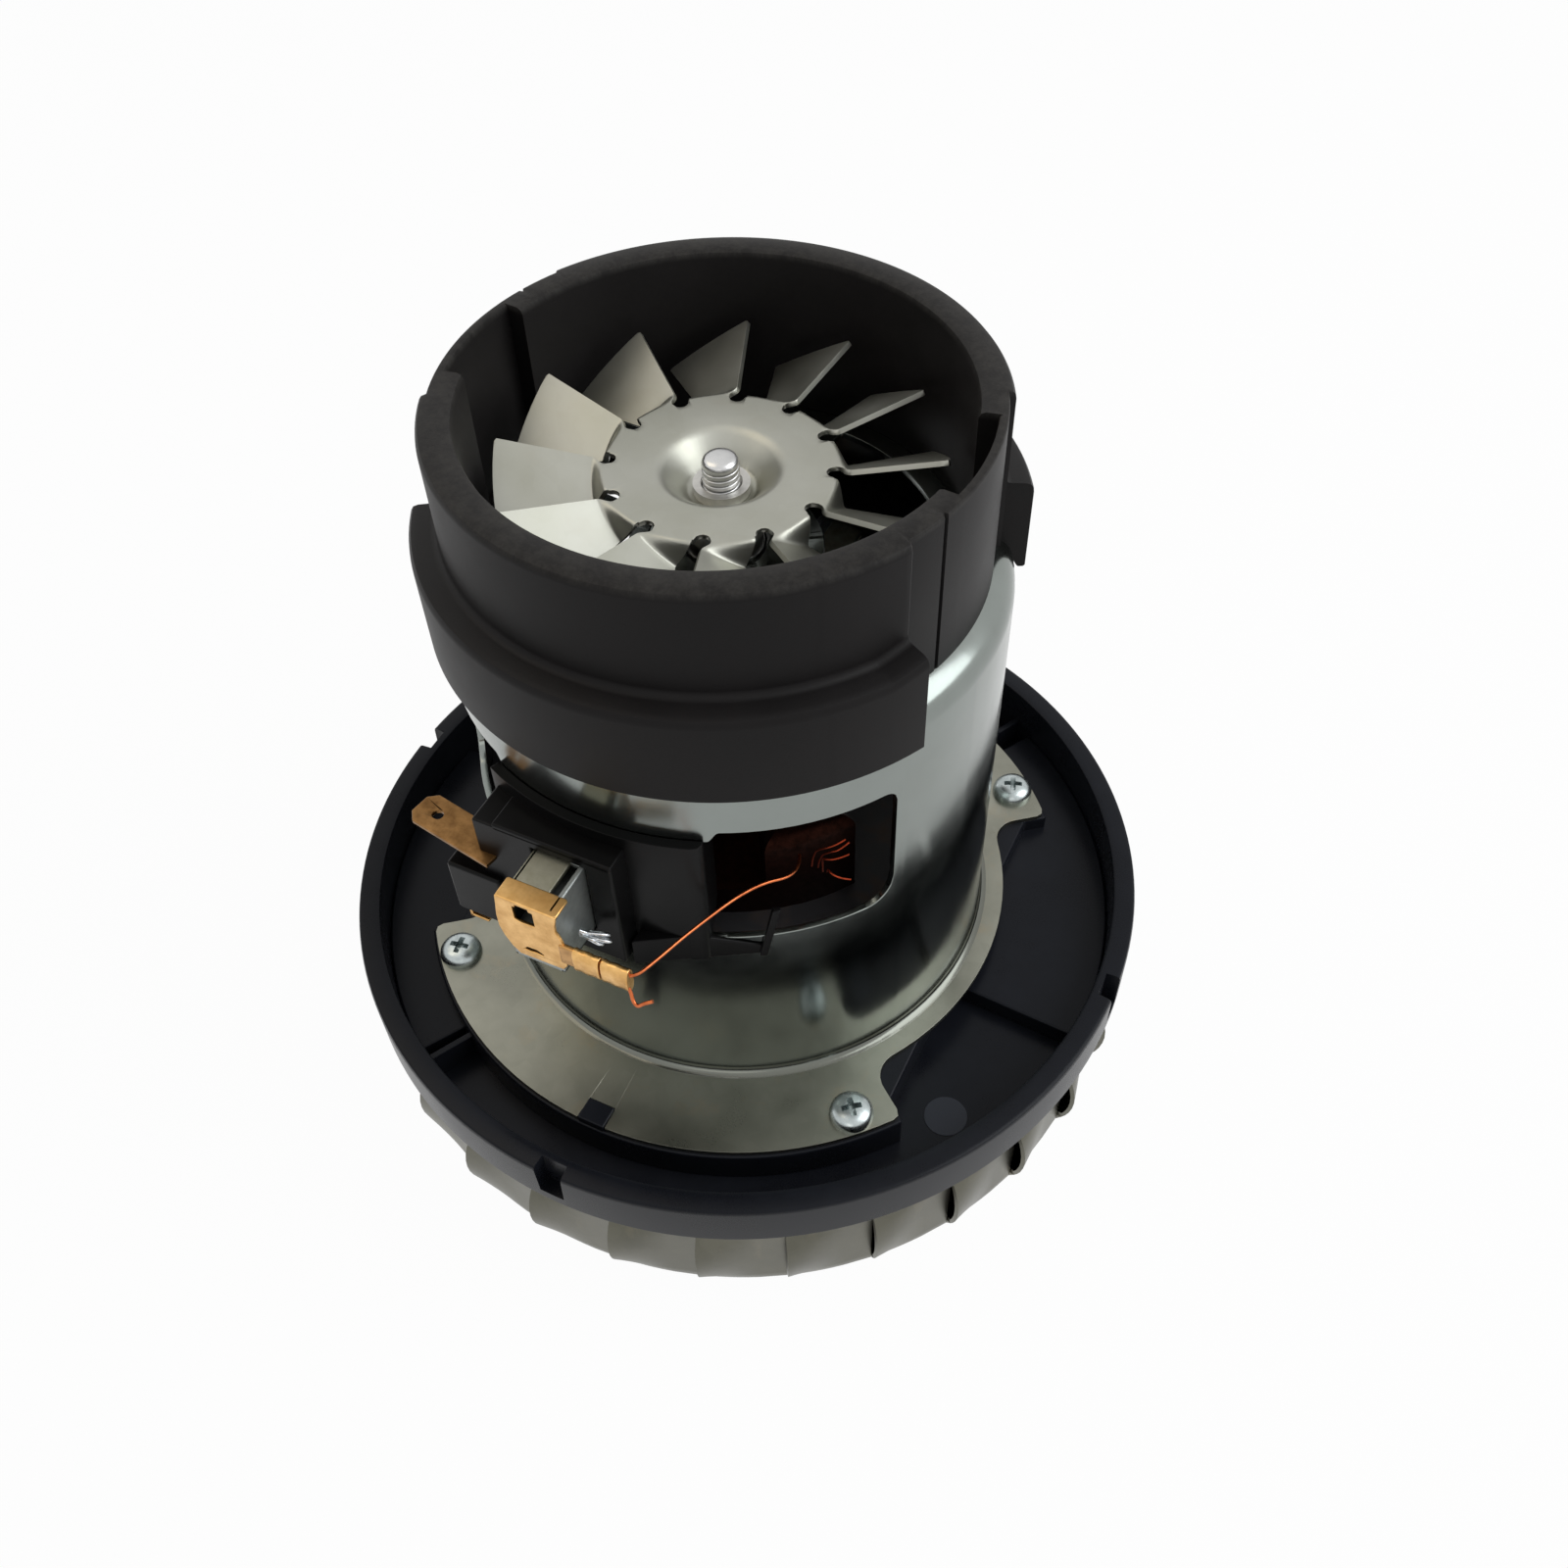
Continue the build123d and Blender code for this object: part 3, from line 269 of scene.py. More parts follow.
cowl_black = black_plastic("cowl_black", (0.008, 0.007, 0.007), (0.015, 0.013, 0.013), 0.42, 0.02, 0.15,
                           worn_above=142.4)
# The blue tint in the dish's colours is a painted sheen of daylight; the black is the plastic's own.
dish_black = black_plastic("dish_black", (0.010, 0.011, 0.015), (0.020, 0.022, 0.029), 0.24, 0.004, 0.12)
holder_black = black_plastic("holder_black", (0.004, 0.004, 0.004), (0.008, 0.007, 0.008), 0.30, 0.008,
                             0.12)
mark_black = black_plastic("mark_black", (0.03, 0.033, 0.045), (0.045, 0.05, 0.06), 0.38, 0.006, 0.25)
pressed_carbon = black_plastic("pressed_carbon", (0.02, 0.02, 0.02), (0.04, 0.04, 0.04), 0.55, 0.01, 0.3)

# %% [markdown]
# ## Brass, copper and small steel parts
# Brass strip tarnishes to a warm tan with darker spots. The enamelled wire is a deep red-brown copper.
# Inside the can the windings are nearly black: that is painted shade. Screws are bright zinc, and turned
# parts keep rings from the lathe tool.

# %% Small metal finishes
metal_grain_size, metal_relief, tool_ring_spacing = 0.12, 0.006, 0.22
tarnish_rough, metal_grain_rough, metal_grain_height = 0.10, 0.06, 0.4


def small_metal(name, tone, dark, roughness, size=2.5, rings=0.0):
    """Bare metal with cloudy tarnish and, for turned parts, tool rings along the axis."""
    finish = Finish(name, metallic=1.0)
    clouds = finish.noise(size, detail=5.0, rough=0.62).clear_range(low=0.36, high=0.70)
    grain = finish.noise(metal_grain_size)
    finish.feed("Base Color", finish.blend(clouds, tone, dark))
    finish.feed("Roughness", roughness + tarnish_rough * clouds + metal_grain_rough * grain)
    height = grain * metal_grain_height
    if rings:
        height = height + finish.waves(tool_ring_spacing) * rings
    finish.feed("Normal", finish.bump(height, metal_relief))
    return finish.material


brass = small_metal("brass", (0.80, 0.49, 0.19), (0.58, 0.32, 0.10), 0.25)
# A darker copy of the brass: painted shade for the clip's arm and neck, which lie in shadow behind the
# plate.
shaded_brass = small_metal("shaded_brass", (0.56, 0.31, 0.11), (0.32, 0.17, 0.06), 0.26)
red_copper = small_metal("red_copper", (0.62, 0.17, 0.06), (0.36, 0.09, 0.035), 0.24)
tab_brass = small_metal("tab_brass", (0.28, 0.15, 0.055), (0.13, 0.065, 0.022), 0.30)
# Nearly black: painted shade on the windings deep inside the can; the wire itself is red-brown copper.
shaded_winding_copper = small_metal("shaded_winding_copper", (0.018, 0.006, 0.004), (0.007, 0.003, 0.002), 0.45, 1.2)
bar_copper = small_metal("bar_copper", (0.72, 0.38, 0.22), (0.40, 0.20, 0.12), 0.30, 3.0, 0.6)
bright_zinc = small_metal("bright_zinc", (0.50, 0.55, 0.55), (0.34, 0.38, 0.38), 0.22, 1.6)
ground_steel = small_metal("ground_steel", (0.62, 0.62, 0.61), (0.50, 0.50, 0.50), 0.22, 4.0, 0.4)
turned_steel = small_metal("turned_steel", (0.56, 0.55, 0.52), (0.40, 0.39, 0.37), 0.28, 3.0, 0.8)
grey_steel = small_metal("grey_steel", (0.36, 0.38, 0.37), (0.25, 0.27, 0.26), 0.40, 2.0)
pale_steel = small_metal("pale_steel", (0.40, 0.39, 0.31), (0.30, 0.29, 0.22), 0.42, 2.0)
bare_strands = small_metal("bare_strands", (0.36, 0.05, 0.02), (0.18, 0.03, 0.01), 0.3, 0.6)
tin_braid = small_metal("tin_braid", (0.80, 0.82, 0.84), (0.52, 0.55, 0.58), 0.22, 0.6)
pressed_aluminium = small_metal("pressed_aluminium", (0.76, 0.77, 0.77), (0.60, 0.61, 0.62), 0.32, 6.0)

# %% [markdown]
# ## Laminated core
# The stator and armature are stacks of thin steel sheets. A sine along the axis draws the joints, which
# is far cheaper than modelling each sheet, and cloudy rust breaks up the stack.

# %% Core finish
sheet_spacing, rust_size, joint_relief = 0.5, 5.0, 0.03
sheet_rough, rust_rough, rust_share, rust_brown = 0.38, 0.15, 0.4, (0.16, 0.10, 0.06)


def stacked_sheets(name):
    """Laminated core: dark sheets with a line at each joint."""
    finish = Finish(name, metallic=0.8)
    lines = finish.waves(sheet_spacing).clear_range(low=-0.2, high=0.9)
    rust = finish.noise(rust_size, detail=5.0).clear_range(low=0.5, high=0.75)
    colour = finish.blend(lines, (0.07, 0.07, 0.075), (0.22, 0.22, 0.23))
    finish.feed("Base Color", finish.blend(rust * rust_share, colour, rust_brown))
    finish.feed("Roughness", sheet_rough + rust_rough * rust)
    finish.feed("Normal", finish.bump(lines, joint_relief))
    return finish.material


core_sheets = stacked_sheets("core_sheets")

# %% [markdown]
# ## Meshes from sections
# Most of this product is pressed, spun or moulded round one axis, so one helper does most of the work:
# it lays a section at each angle and skins neighbouring sections with quads. A section may differ from
# angle to angle, which gives notches, lobes, louvres and windows without any cutting.

# %% Points and skins, in millimetres
def polar(radius, angle, height=0.0):
    """A point by radius and angle about the motor axis."""
    turn = math.radians(angle)
    return (radius * math.cos(turn), radius * math.sin(turn), height)


def ring_point(radius, angle):
    """X and Y of a point about the motor axis."""
    return polar(radius, angle)[:2]


def turned(point, angle):
    """A point turned about the motor axis."""
    a = math.radians(angle)
    x, y, z = point
    return (x * math.cos(a) - y * math.sin(a), x * math.sin(a) + y * math.cos(a), z)


def circle(centre, radius, count):
    """Points evenly spaced on a circle about any centre."""
    turns = steps(0, 2 * math.pi, count)[:-1]
    return [(centre[0] + radius * math.cos(a), centre[1] + radius * math.sin(a)) for a in turns]


def steps(start, end, count):
    """Evenly spaced values from start to end, both included."""
    return [start + (end - start) * i / count for i in range(count + 1)]


def smooth_step(share):
    """A share from 0 to 1 that starts and ends gently."""
    return share * share * (3 - 2 * share)


def turn_to_nearest(angle, middles):
    """Degrees from an angle to the nearest of some others."""
    return min(abs((angle - middle + 180) % 360 - 180) for middle in middles)


def skin(columns, closed=True, wrap=True, keep=None):
    """Quads between neighbouring columns of points; keep(i, j) may leave a quad out."""
    count = len(columns[0])
    points = [p for column in columns for p in column]
    faces = []
    for i in range(len(columns) if wrap else len(columns) - 1):
        here = i * count
        following = (i + 1) % len(columns) * count
        for j in range(count if closed else count - 1):
            above = (j + 1) % count
            if keep is None or keep(i, j):
                faces.append((here + j, following + j, following + above, here + above))
    if closed and not wrap:
        faces.append(tuple(reversed(range(count))))
        last = (len(columns) - 1) * count
        faces.append(tuple(last + j for j in range(count)))
    return points, faces


# %% [markdown]
# ## From points to a finished piece
# A piece needs an object, clean faces that point outward, and edges that catch the light. Real edges
# are never sharp, so a narrow bevel rounds them, and a thin sheet gets its thickness from a modifier.

# %% Objects, edges and thickness
def show(name, data):
    """An object in the scene for a mesh, a curve or a lamp."""
    made = bpy.data.objects.new(name, data)
    bpy.context.scene.collection.objects.link(made)
    return made


def make_object(name, points, faces, material):
    """A mesh object from points in millimetres."""
    mesh = bpy.data.meshes.new(name)
    mesh.from_pydata([Vector(p) * MM for p in points], [], faces)
    mesh.validate()
    mesh.shade_smooth()
    made = show(name, mesh)
    made.data.materials.append(material)
    return made


def finished_mesh(piece):
    """The mesh that a curve or a piece with modifiers comes to."""
    bpy.context.view_layer.update()
    return bpy.data.meshes.new_from_object(piece.evaluated_get(bpy.context.evaluated_depsgraph_get()))


def soften(piece, width=0.0, sharp=38.0, sheet=0.0, even=True):
    """Gives a sheet its thickness, rounds the edges and shades the rest smoothly."""
    if sheet:
        solid = piece.modifiers.new("sheet", "SOLIDIFY")
        solid.thickness = sheet * MM
        solid.offset = -1.0
        solid.use_even_offset = even
    if width:
        edges = piece.modifiers.new("edges", "BEVEL")
        edges.width = width * MM
        edges.segments = 2
        edges.limit_method = "ANGLE"
        edges.angle_limit = math.radians(sharp)
        edges.use_clamp_overlap = True
        normals = piece.modifiers.new("normals", "WEIGHTED_NORMAL")
        normals.keep_sharp = True
    else:
        piece.data.set_sharp_from_angle(angle=math.radians(sharp))
    return piece


def clean(piece, distance=0.004, outward=True):
    """Joins doubled points and turns the faces outward."""
    work = bmesh.new()
    work.from_mesh(piece.data)
    bmesh.ops.remove_doubles(work, verts=work.verts, dist=distance * MM)
    if outward:
        bmesh.ops.recalc_face_normals(work, faces=work.faces)
    work.to_mesh(piece.data)
    work.free()
    piece.data.shade_smooth()
    return piece


def cut_out(piece, cutter, own_overlaps=False):
    """Cuts one object out of another for good; own_overlaps is for a cutter that crosses itself."""
    cut = piece.modifiers.new("cut", "BOOLEAN")
    cut.object = cutter
    cut.solver = "EXACT"
    cut.use_self = own_overlaps
    piece.modifiers.move(len(piece.modifiers) - 1, 0)
    ready = finished_mesh(piece)
    piece.modifiers.clear()
    piece.data = ready
    bpy.data.objects.remove(cutter)


# %% [markdown]
# ## Plates, boxes and turned pieces
# Three shapes cover most small parts: a plate from an outline, a box of the brush gear, and a turned
# piece from a profile. Each comes back ready to be fitted to its body.

# %% Plates, boxes and turned pieces
def slab(name, outline, low, high, material, width=0.2):
    """A flat plate from an outline of points, with rounded edges."""
    columns = [[(x, y, low), (x, y, high)] for x, y in outline]
    points, faces = skin(columns, closed=False)
    count = len(outline)
    faces.append(tuple(2 * i for i in reversed(range(count))))
    faces.append(tuple(2 * i + 1 for i in range(count)))
    return soften(clean(make_object(name, points, faces, material)), width)


def block(name, x_range, out_range, height_range, material, width=0.25):
    """A box of the brush gear: X, distance out from the axis towards -Y, and height."""
    (x0, x1), (out0, out1), (low, high) = x_range, out_range, height_range
    outline = [(x0, -out1), (x1, -out1), (x1, -out0), (x0, -out0)]
    return slab(name, outline, low, high, material, width)


def lathe(name, profile, material, width=0.0, count=96):
    """A turned piece from a closed profile of (radius, height)."""
    columns = [[polar(r, 360 * i / count, z) for r, z in profile] for i in range(count)]
    points, faces = skin(columns)
    return soften(clean(make_object(name, points, faces, material)), width)


# %% [markdown]
# ## Fitting
# A fitted piece rides on one body, and the solids it stands for are hidden. The brush gear and the dish
# repeat on the far side, half a turn round, so one call makes both.

# %% Fitting helpers
def fit(piece, body, slot, *replaced):
    """Rides the piece on its body, and hides the solids it stands for."""
    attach(piece, body)
    if replaced:
        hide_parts(*replaced)
    print(piece.name, len(piece.data.vertices), "points")


def fit_both(piece, slot, node, far_node):
    """Fits a piece to the chassis, and its twin half a turn round the motor."""
    fit(piece, "chassis", slot, node)
    twin = piece.copy()
    twin.data = piece.data.copy()
    twin.name = piece.name + "_far"
    twin.data.transform(Matrix.Rotation(math.pi, 4, "Z"))
    bpy.context.scene.collection.objects.link(twin)
    fit(twin, "chassis", slot, far_node)


def fit_gear(pieces, slot, part):
    """Fits pieces of the front brush gear, and their twins at the rear."""
    for piece in pieces:
        fit_both(piece, slot, "front_" + part, "rear_" + part)


# %% [markdown]
# ## Camera
# The camera was worked out from the circles of the dish, can and cowl in the photo. It stands in front
# and to the right of the brush gear, and looks down at about fifty degrees.

# %% Camera
image_size, focal_pixels, film_width = 1600, 1566.5, 36.0
camera_place = Vector((91.3, -161.4, 272.9)) * MM
look_azimuth, look_down, roll = 117.07, 49.39, -1.95
azimuth, dip, tilt = (math.radians(v) for v in (look_azimuth, look_down, roll))
forward = Vector((math.cos(azimuth) * math.cos(dip), math.sin(azimuth) * math.cos(dip), -math.sin(dip)))
level = Vector((math.sin(azimuth), -math.cos(azimuth), 0))
upright = level.cross(forward)
right = math.cos(tilt) * level + math.sin(tilt) * upright
top = math.cos(tilt) * upright - math.sin(tilt) * level
lens = bpy.data.cameras.new("camera")
lens.sensor_width = film_width
lens.lens = film_width * focal_pixels / image_size
lens.clip_start = 0.01
camera = show("camera", lens)
axes = Matrix((right, top, -forward)).transposed().to_4x4()
camera.matrix_world = Matrix.Translation(camera_place) @ axes
bpy.context.scene.camera = camera
print("lens", round(lens.lens, 2), "mm")

# %% [markdown]
# ## Floor, sky and lamps
# Soft daylight comes from the right, with a little warm light from the left. A pale floor takes a faint
# shadow. The camera, and mirrored rays, see white, while the light on the object stays plain.

# %% Floor and world
def white_where_seen(maker, lit, white):
    """Mixes in white for what the camera and mirror-like surfaces see."""
    rays = ("Is Camera Ray", "Is Glossy Ray", "Is Transmission Ray")
    camera_ray, glossy_ray, clear_ray = (maker.add("ShaderNodeLightPath", output=ray) for ray in rays)
    seen = camera_ray.larger(glossy_ray).larger(clear_ray)
    return maker.add("ShaderNodeMixShader", {}, {0: seen, 1: lit, 2: white})


world = bpy.data.worlds.new("studio")
bpy.context.scene.world = world
world.use_nodes = True
sky = NodeMaker(world.node_tree)
plain_sky = sky.add("ShaderNodeBackground", {}, {"Color": (0.86, 0.92, 1.0, 1), "Strength": 0.16})
white_sky = sky.add("ShaderNodeBackground", {}, {"Color": (1, 1, 1, 1)})
sky.end_in(white_where_seen(sky, plain_sky, white_sky))

floor_half, floor_cloud_size, white_floor_share = 3000, 300.0, 0.97
floor_finish = Finish("pale_floor", roughness=0.9, specular_ior_level=0.1)
floor_cloud = floor_finish.noise(floor_cloud_size, detail=2.0)
floor_finish.feed("Base Color", floor_finish.blend(floor_cloud, (0.90, 0.90, 0.90), (0.93, 0.93, 0.93)))
lit_floor = Amount(floor_finish, floor_finish.shader.outputs[0])
seen_floor = white_where_seen(floor_finish, lit_floor, floor_finish.add("ShaderNodeEmission"))
floor_mix = {0: white_floor_share, 1: lit_floor, 2: seen_floor}
floor_finish.end_in(floor_finish.add("ShaderNodeMixShader", {}, floor_mix))
floor_points = [(x * floor_half, y * floor_half, 0) for x, y in ((-1, -1), (1, -1), (1, 1), (-1, 1))]
make_object("floor", floor_points, [(0, 1, 2, 3)], floor_finish.material)

# %% Lamps
aim_height = 0.07


def lamp(name, turn, rise, distance, size, watts, colour):
    """A soft box that faces the middle of the object, by its angles in degrees and distance in metres."""
    light = bpy.data.lights.new(name, "AREA")
    light.shape = "RECTANGLE"
    light.size, light.size_y = size
    light.energy = watts
    light.color = colour
    x, y = ring_point(distance * math.cos(math.radians(rise)), turn)
    place = Vector((x, y, distance * math.sin(math.radians(rise)) + aim_height))
    aim = (Vector((0, 0, aim_height)) - place).to_track_quat("-Z", "Y")
    show(name, light).matrix_world = Matrix.Translation(place) @ aim.to_matrix().to_4x4()
    print(name, watts, "W")


lamp("window_light", 15, 40, 0.9, (0.6, 0.8), 4.6, (0.95, 0.98, 1.0))
lamp("room_light", 190, 58, 1.0, (0.6, 0.6), 0.9, (1.0, 0.84, 0.60))
lamp("front_light", 285, 30, 1.1, (0.5, 0.4), 0.4, (1.0, 0.96, 0.9))

# %% [markdown]
# ## Fan cowl
# The cowl is one moulding: a ring round the fan, thick over two arcs and thin over two, and under each
# thick arc a skirt that hangs over the can. Its section changes with the angle, so it is skinned from a
# section for each angle. Steps are made by two sections three tenths of a degree apart.

# %% Fan cowl sizes
cowl_top, cowl_foot, cowl_seat, seat_outer, seat_inner = 143.2, 115.06, 115.0, 41.0, 39.5
cowl_inner, cowl_thick, cowl_thin, cowl_recess = 37.5, 42.9, 41.8, 40.4
wide_rim_in, narrow_rim_in, wide_rim_out, narrow_rim_out, rim_fall = 1.0, 0.5, 1.2, 0.4, 0.05
skirt_outer, skirt_inner, skirt_low, skirt_high, skirt_roof = 47.5, 46.1, 108.3, 125.0, 112.0
ledge_round, skirt_round, lip_round, end_round, pad_height, line_depth = 1.2, 1.0, 0.3, 0.6, 1.3, 0.5
thin_zone, recess_zone, skirt_zone = (334.0, 384.3), (349.5, 376.5), (207.0, 333.5)
pad_zone, line_zone = (326.3, 333.5), (343.2, 344.0)
step_angle, even_step, clear_of_jump, end_steps = 0.3, 2, 0.6, (0.3, 0.45, 0.6, 0.75)
ring_heights = (127.2, 126.2, 125.5, 125.0, 124.6, 124.0, 123.2, 122.2)
ring_heights += (114.9, 114.6, 114.55, 114.5, 114.45)
ring_foot, ring_foot_in = 114.4, 0.2
rim_in_shares = ((0, -1), (0.3, -0.3), (1, 0))
rim_out_shares = ((-0.4, -0.25), (-0.1, -0.65), (0, -1.2))
ledge_shares = ((0, 1), (0.125, 0.5), (0.5, 0.125), (1, 0))
skirt_edge_shares = ((-1.3, -0.1), (-0.5, -0.4), (-0.1, -1.0), (0, -1.8))
roof_shares = ((0, 0), (-1.0, 1.6))
print("cowl", round(cowl_top - skirt_low, 1), "mm high with its skirt")


# %% Section of the cowl
def in_zone(angle, zone):
    """Whether an angle lies in a zone or in its twin on the far side."""
    start, end = zone
    return any(start <= angle + turn <= end for turn in (-180, 0, 180, 360))


def corner(radius, height, size, shares):
    """Points about a corner of a section, each a share of its size away."""
    return [(radius + size * across, height + size * up) for across, up in shares]


def cowl_outer(angle):
    """Outer radius of the ring, with a rounded end where it steps down to the thin arc."""
    outer = cowl_thin
    if not in_zone(angle, thin_zone):
        to_end = min((thin_zone[0] - turn - angle) % 360 for turn in (0, 180))
        outer = cowl_thick
        outer -= end_round * (1 - min(math.radians(to_end) * cowl_thick / end_round, 1.0)) ** 2
    return outer - line_depth if in_zone(angle, line_zone) else outer


def skirt_section(outer, high):
    """The ledge under the ring, and the skirt down to its lip and up again on the inside."""
    ledge = corner(outer, high, ledge_round, ledge_shares)
    edge = corner(skirt_outer, high, skirt_round, skirt_edge_shares)
    lip = corner(skirt_outer, skirt_low, lip_round, ((0, 1), (-1, 0)))
    lip += corner(skirt_inner, skirt_low, lip_round, ((1, 0), (0, 1)))
    return ledge + edge + lip + corner(skirt_inner, skirt_roof, skirt_round, roof_shares)


def cowl_section(angle):
    """The closed section of the cowl at one angle, from the inner foot round the outside."""
    outer = cowl_outer(angle)
    recess = in_zone(angle, recess_zone)
    inner = cowl_recess if recess else cowl_inner
    rim_in = narrow_rim_in if recess else wide_rim_in
    rim_out = narrow_rim_out if in_zone(angle, thin_zone) else wide_rim_out
    section = [(inner, cowl_foot)] + corner(inner, cowl_top, rim_in, rim_in_shares)
    section += [(outer - rim_out, cowl_top - rim_fall)] + corner(outer, cowl_top, rim_out, rim_out_shares)
    if in_zone(angle, skirt_zone):
        ramp = (angle - pad_zone[0]) % 180 / (pad_zone[1] - pad_zone[0])
        pad = pad_height * ramp if in_zone(angle, pad_zone) else 0.0
        section += skirt_section(outer, skirt_high + pad)
    else:
        section += [(outer, z) for z in ring_heights] + [(outer - ring_foot_in, ring_foot)]
    return section + [(seat_outer, cowl_seat), (seat_inner, cowl_foot)]


# %% Fan cowl
def cowl_angles():
    """Even steps, with a close pair wherever the section jumps."""
    zones = (thin_zone, recess_zone, skirt_zone, pad_zone, line_zone)
    jumps = [(edge + turn) % 360 for zone in zones for turn in (0, 180) for edge in zone]
    close = [(jump + side) % 360 for jump in jumps for side in (-step_angle / 2, step_angle / 2)]
    even = [a for a in range(0, 360, even_step) if all(abs(a - jump) > clear_of_jump for jump in jumps)]
    rounding = [(thin_zone[0] - back + turn) % 360 for turn in (0, 180) for back in end_steps]
    return sorted(set(even + close + rounding))


cowl_points, cowl_faces = skin([[polar(r, a, z) for r, z in cowl_section(a)] for a in cowl_angles()])
cowl = clean(make_object("cowl_ring", cowl_points, cowl_faces, cowl_black), distance=0.0005)
fit(soften(cowl, sharp=32.0), "chassis", "matte_black_moulding", "fan_cowl")

# %% [markdown]
# ## Motor can
# The can is drawn from sheet: a wall, a rounded shoulder, a vented top and a brush window front and
# back. It is laid out as one skin with the window quads left out, and then thickened inward. The rows
# at the window's upper and lower edge bend towards its corners, which rounds them.

# %% Motor can sizes
can_outer, can_sheet, can_top, can_shoulder, foot_round, flange_top = 45.5, 1.2, 115.0, 5.5, 1.6, 31.5
window_low, window_high, window_half, corner_low, corner_high = 73.0, 99.2, 60.0, 5.0, 2.4
lintel_height, lintel_left, lintel_right, lintel_round = 97.1, 246.0, 293.5, 1.2
vent_outer, vent_inner, vent_start, vent_end = 34.0, 15.5, 8, 82
plain_heights, over_window, can_even_step = (45, 60), 104, 3
bearing_cap = [(12.6, can_top), (12.3, can_top + 0.2), (12.2, 116.6), (11.9, 117.0), (7.0, 117.05)]
window_steps = (-10.5, -8, -6.3, -5, -4, -3, -2.2, -1.5, -0.9, -0.4, 0, 1, 2.5)
lintel_steps = (-1.2, -0.8, -0.4, 0, 0.4, 0.8, 1.2)
window_middles = (90, 270)
print("can", 2 * can_outer, "mm across, windows", round(window_high - window_low, 1), "mm high")


# %% Rows of the can
def can_profile():
    """Rows of the can from its foot to the bearing seat, as (radius, height)."""
    rows = []
    for turn in steps(0, 90, 5):
        out, up = 1 - math.sin(math.radians(turn)), 1 - math.cos(math.radians(turn))
        rows.append((can_outer + foot_round * out, flange_top + foot_round * up))
    rows += [(can_outer, z) for z in (*plain_heights, window_low, window_high, over_window)]
    for turn in steps(0, 90, 7):
        back, down = 1 - math.cos(math.radians(turn)), 1 - math.sin(math.radians(turn))
        rows.append((can_outer - can_shoulder * back, can_top - can_shoulder * down))
    return rows + [(vent_outer, can_top), (vent_inner, can_top)] + bearing_cap


can_rows = can_profile()
low_row = can_rows.index((can_outer, window_low))
high_row = can_rows.index((can_outer, window_high))
vent_row = can_rows.index((vent_outer, can_top))


# %% Angles of the can
def can_angles():
    """Even steps, closer at the window corners and at the webs between the vents."""
    found = set(range(0, 360, can_even_step))
    for middle in window_middles:
        for side in (-1, 1):
            found |= {round(middle + side * (window_half + d), 2) % 360 for d in window_steps}
        for edge in (lintel_left, lintel_right):
            found |= {round(edge + middle - window_middles[1] + d, 2) % 360 for d in lintel_steps}
    found |= {(edge + 90 * i) % 360 for edge in (vent_start, vent_end) for i in range(4)}
    return sorted(found)


# %% Window corners
def from_window(angle):
    """Millimetres from the nearer side edge of the window into it."""
    return math.radians(window_half - turn_to_nearest(angle, window_middles)) * can_outer


def corner_rise(inward, radius):
    """How far a window edge has risen at a distance from the window's side."""
    if inward >= radius:
        return 0.0
    return radius - math.sqrt(max(0.0, radius**2 - (radius - max(inward, 0.0)) ** 2))


def lintel_drop(angle):
    """How far the wall comes lower above the brush holder, with a rounded step at each side."""
    half = (lintel_right - lintel_left) / 2
    away = turn_to_nearest(angle, (lintel_left + half, lintel_left + half - 180))
    share = min(max((half + lintel_round - away) / (2 * lintel_round), 0.0), 1.0)
    return (window_high - lintel_height) * smooth_step(share)


def can_column(angle):
    """One column of the can with its window rows bent to the corners."""
    inward = from_window(angle)
    column = [polar(radius, angle, height) for radius, height in can_rows]
    low = window_low + corner_rise(inward, corner_low)
    high = window_high - (corner_rise(inward, corner_high) + lintel_drop(angle))
    column[low_row] = polar(can_outer, angle, low)
    column[high_row] = polar(can_outer, angle, high)
    return column


# %% Motor can wall
angles_of_can = can_angles()


def keep_can(i, j):
    """Leaves out the windows and the four vents."""
    following = angles_of_can[(i + 1) % len(angles_of_can)] or 360
    middle = (angles_of_can[i] + following) / 2
    in_window = j == low_row and from_window(middle) > 0
    in_vent = j == vent_row and vent_start < middle % 90 < vent_end
    return not (in_window or in_vent)


can_points, can_faces = skin([can_column(a) for a in angles_of_can], closed=False, keep=keep_can)
can_wall = make_object("can_wall", can_points, can_faces, can_zinc)
fit(soften(can_wall, 0.16, 50.0, can_sheet), "chassis", "galvanised_sheet", "motor_can")

# %% [markdown]
# ## Flange
# The rim of the can is left flat as a flange with two wide ears, which carry the four screws. A waist
# between the ears leaves the air channels open. Each outline point is given by angle and radius.

# %% Flange
ear_radius, ear_half, ear_corner, ear_chamfer, ear_steps = 61.4, 52.5, 1.6, 0.4, 18
waist_radius, waist_round, flange_inner, flange_low = 50.3, 5.0, 46.6, 30.5
ear_notch_half, ear_notch_floor, chamfer_share = 2.8, 57.2, 0.3


def mirrored(point, middle):
    """A point mirrored in the line at one angle through the motor axis."""
    x, y, z = point
    turn = math.radians(2 * middle)
    return (x * math.cos(turn) + y * math.sin(turn), x * math.sin(turn) - y * math.cos(turn), z)


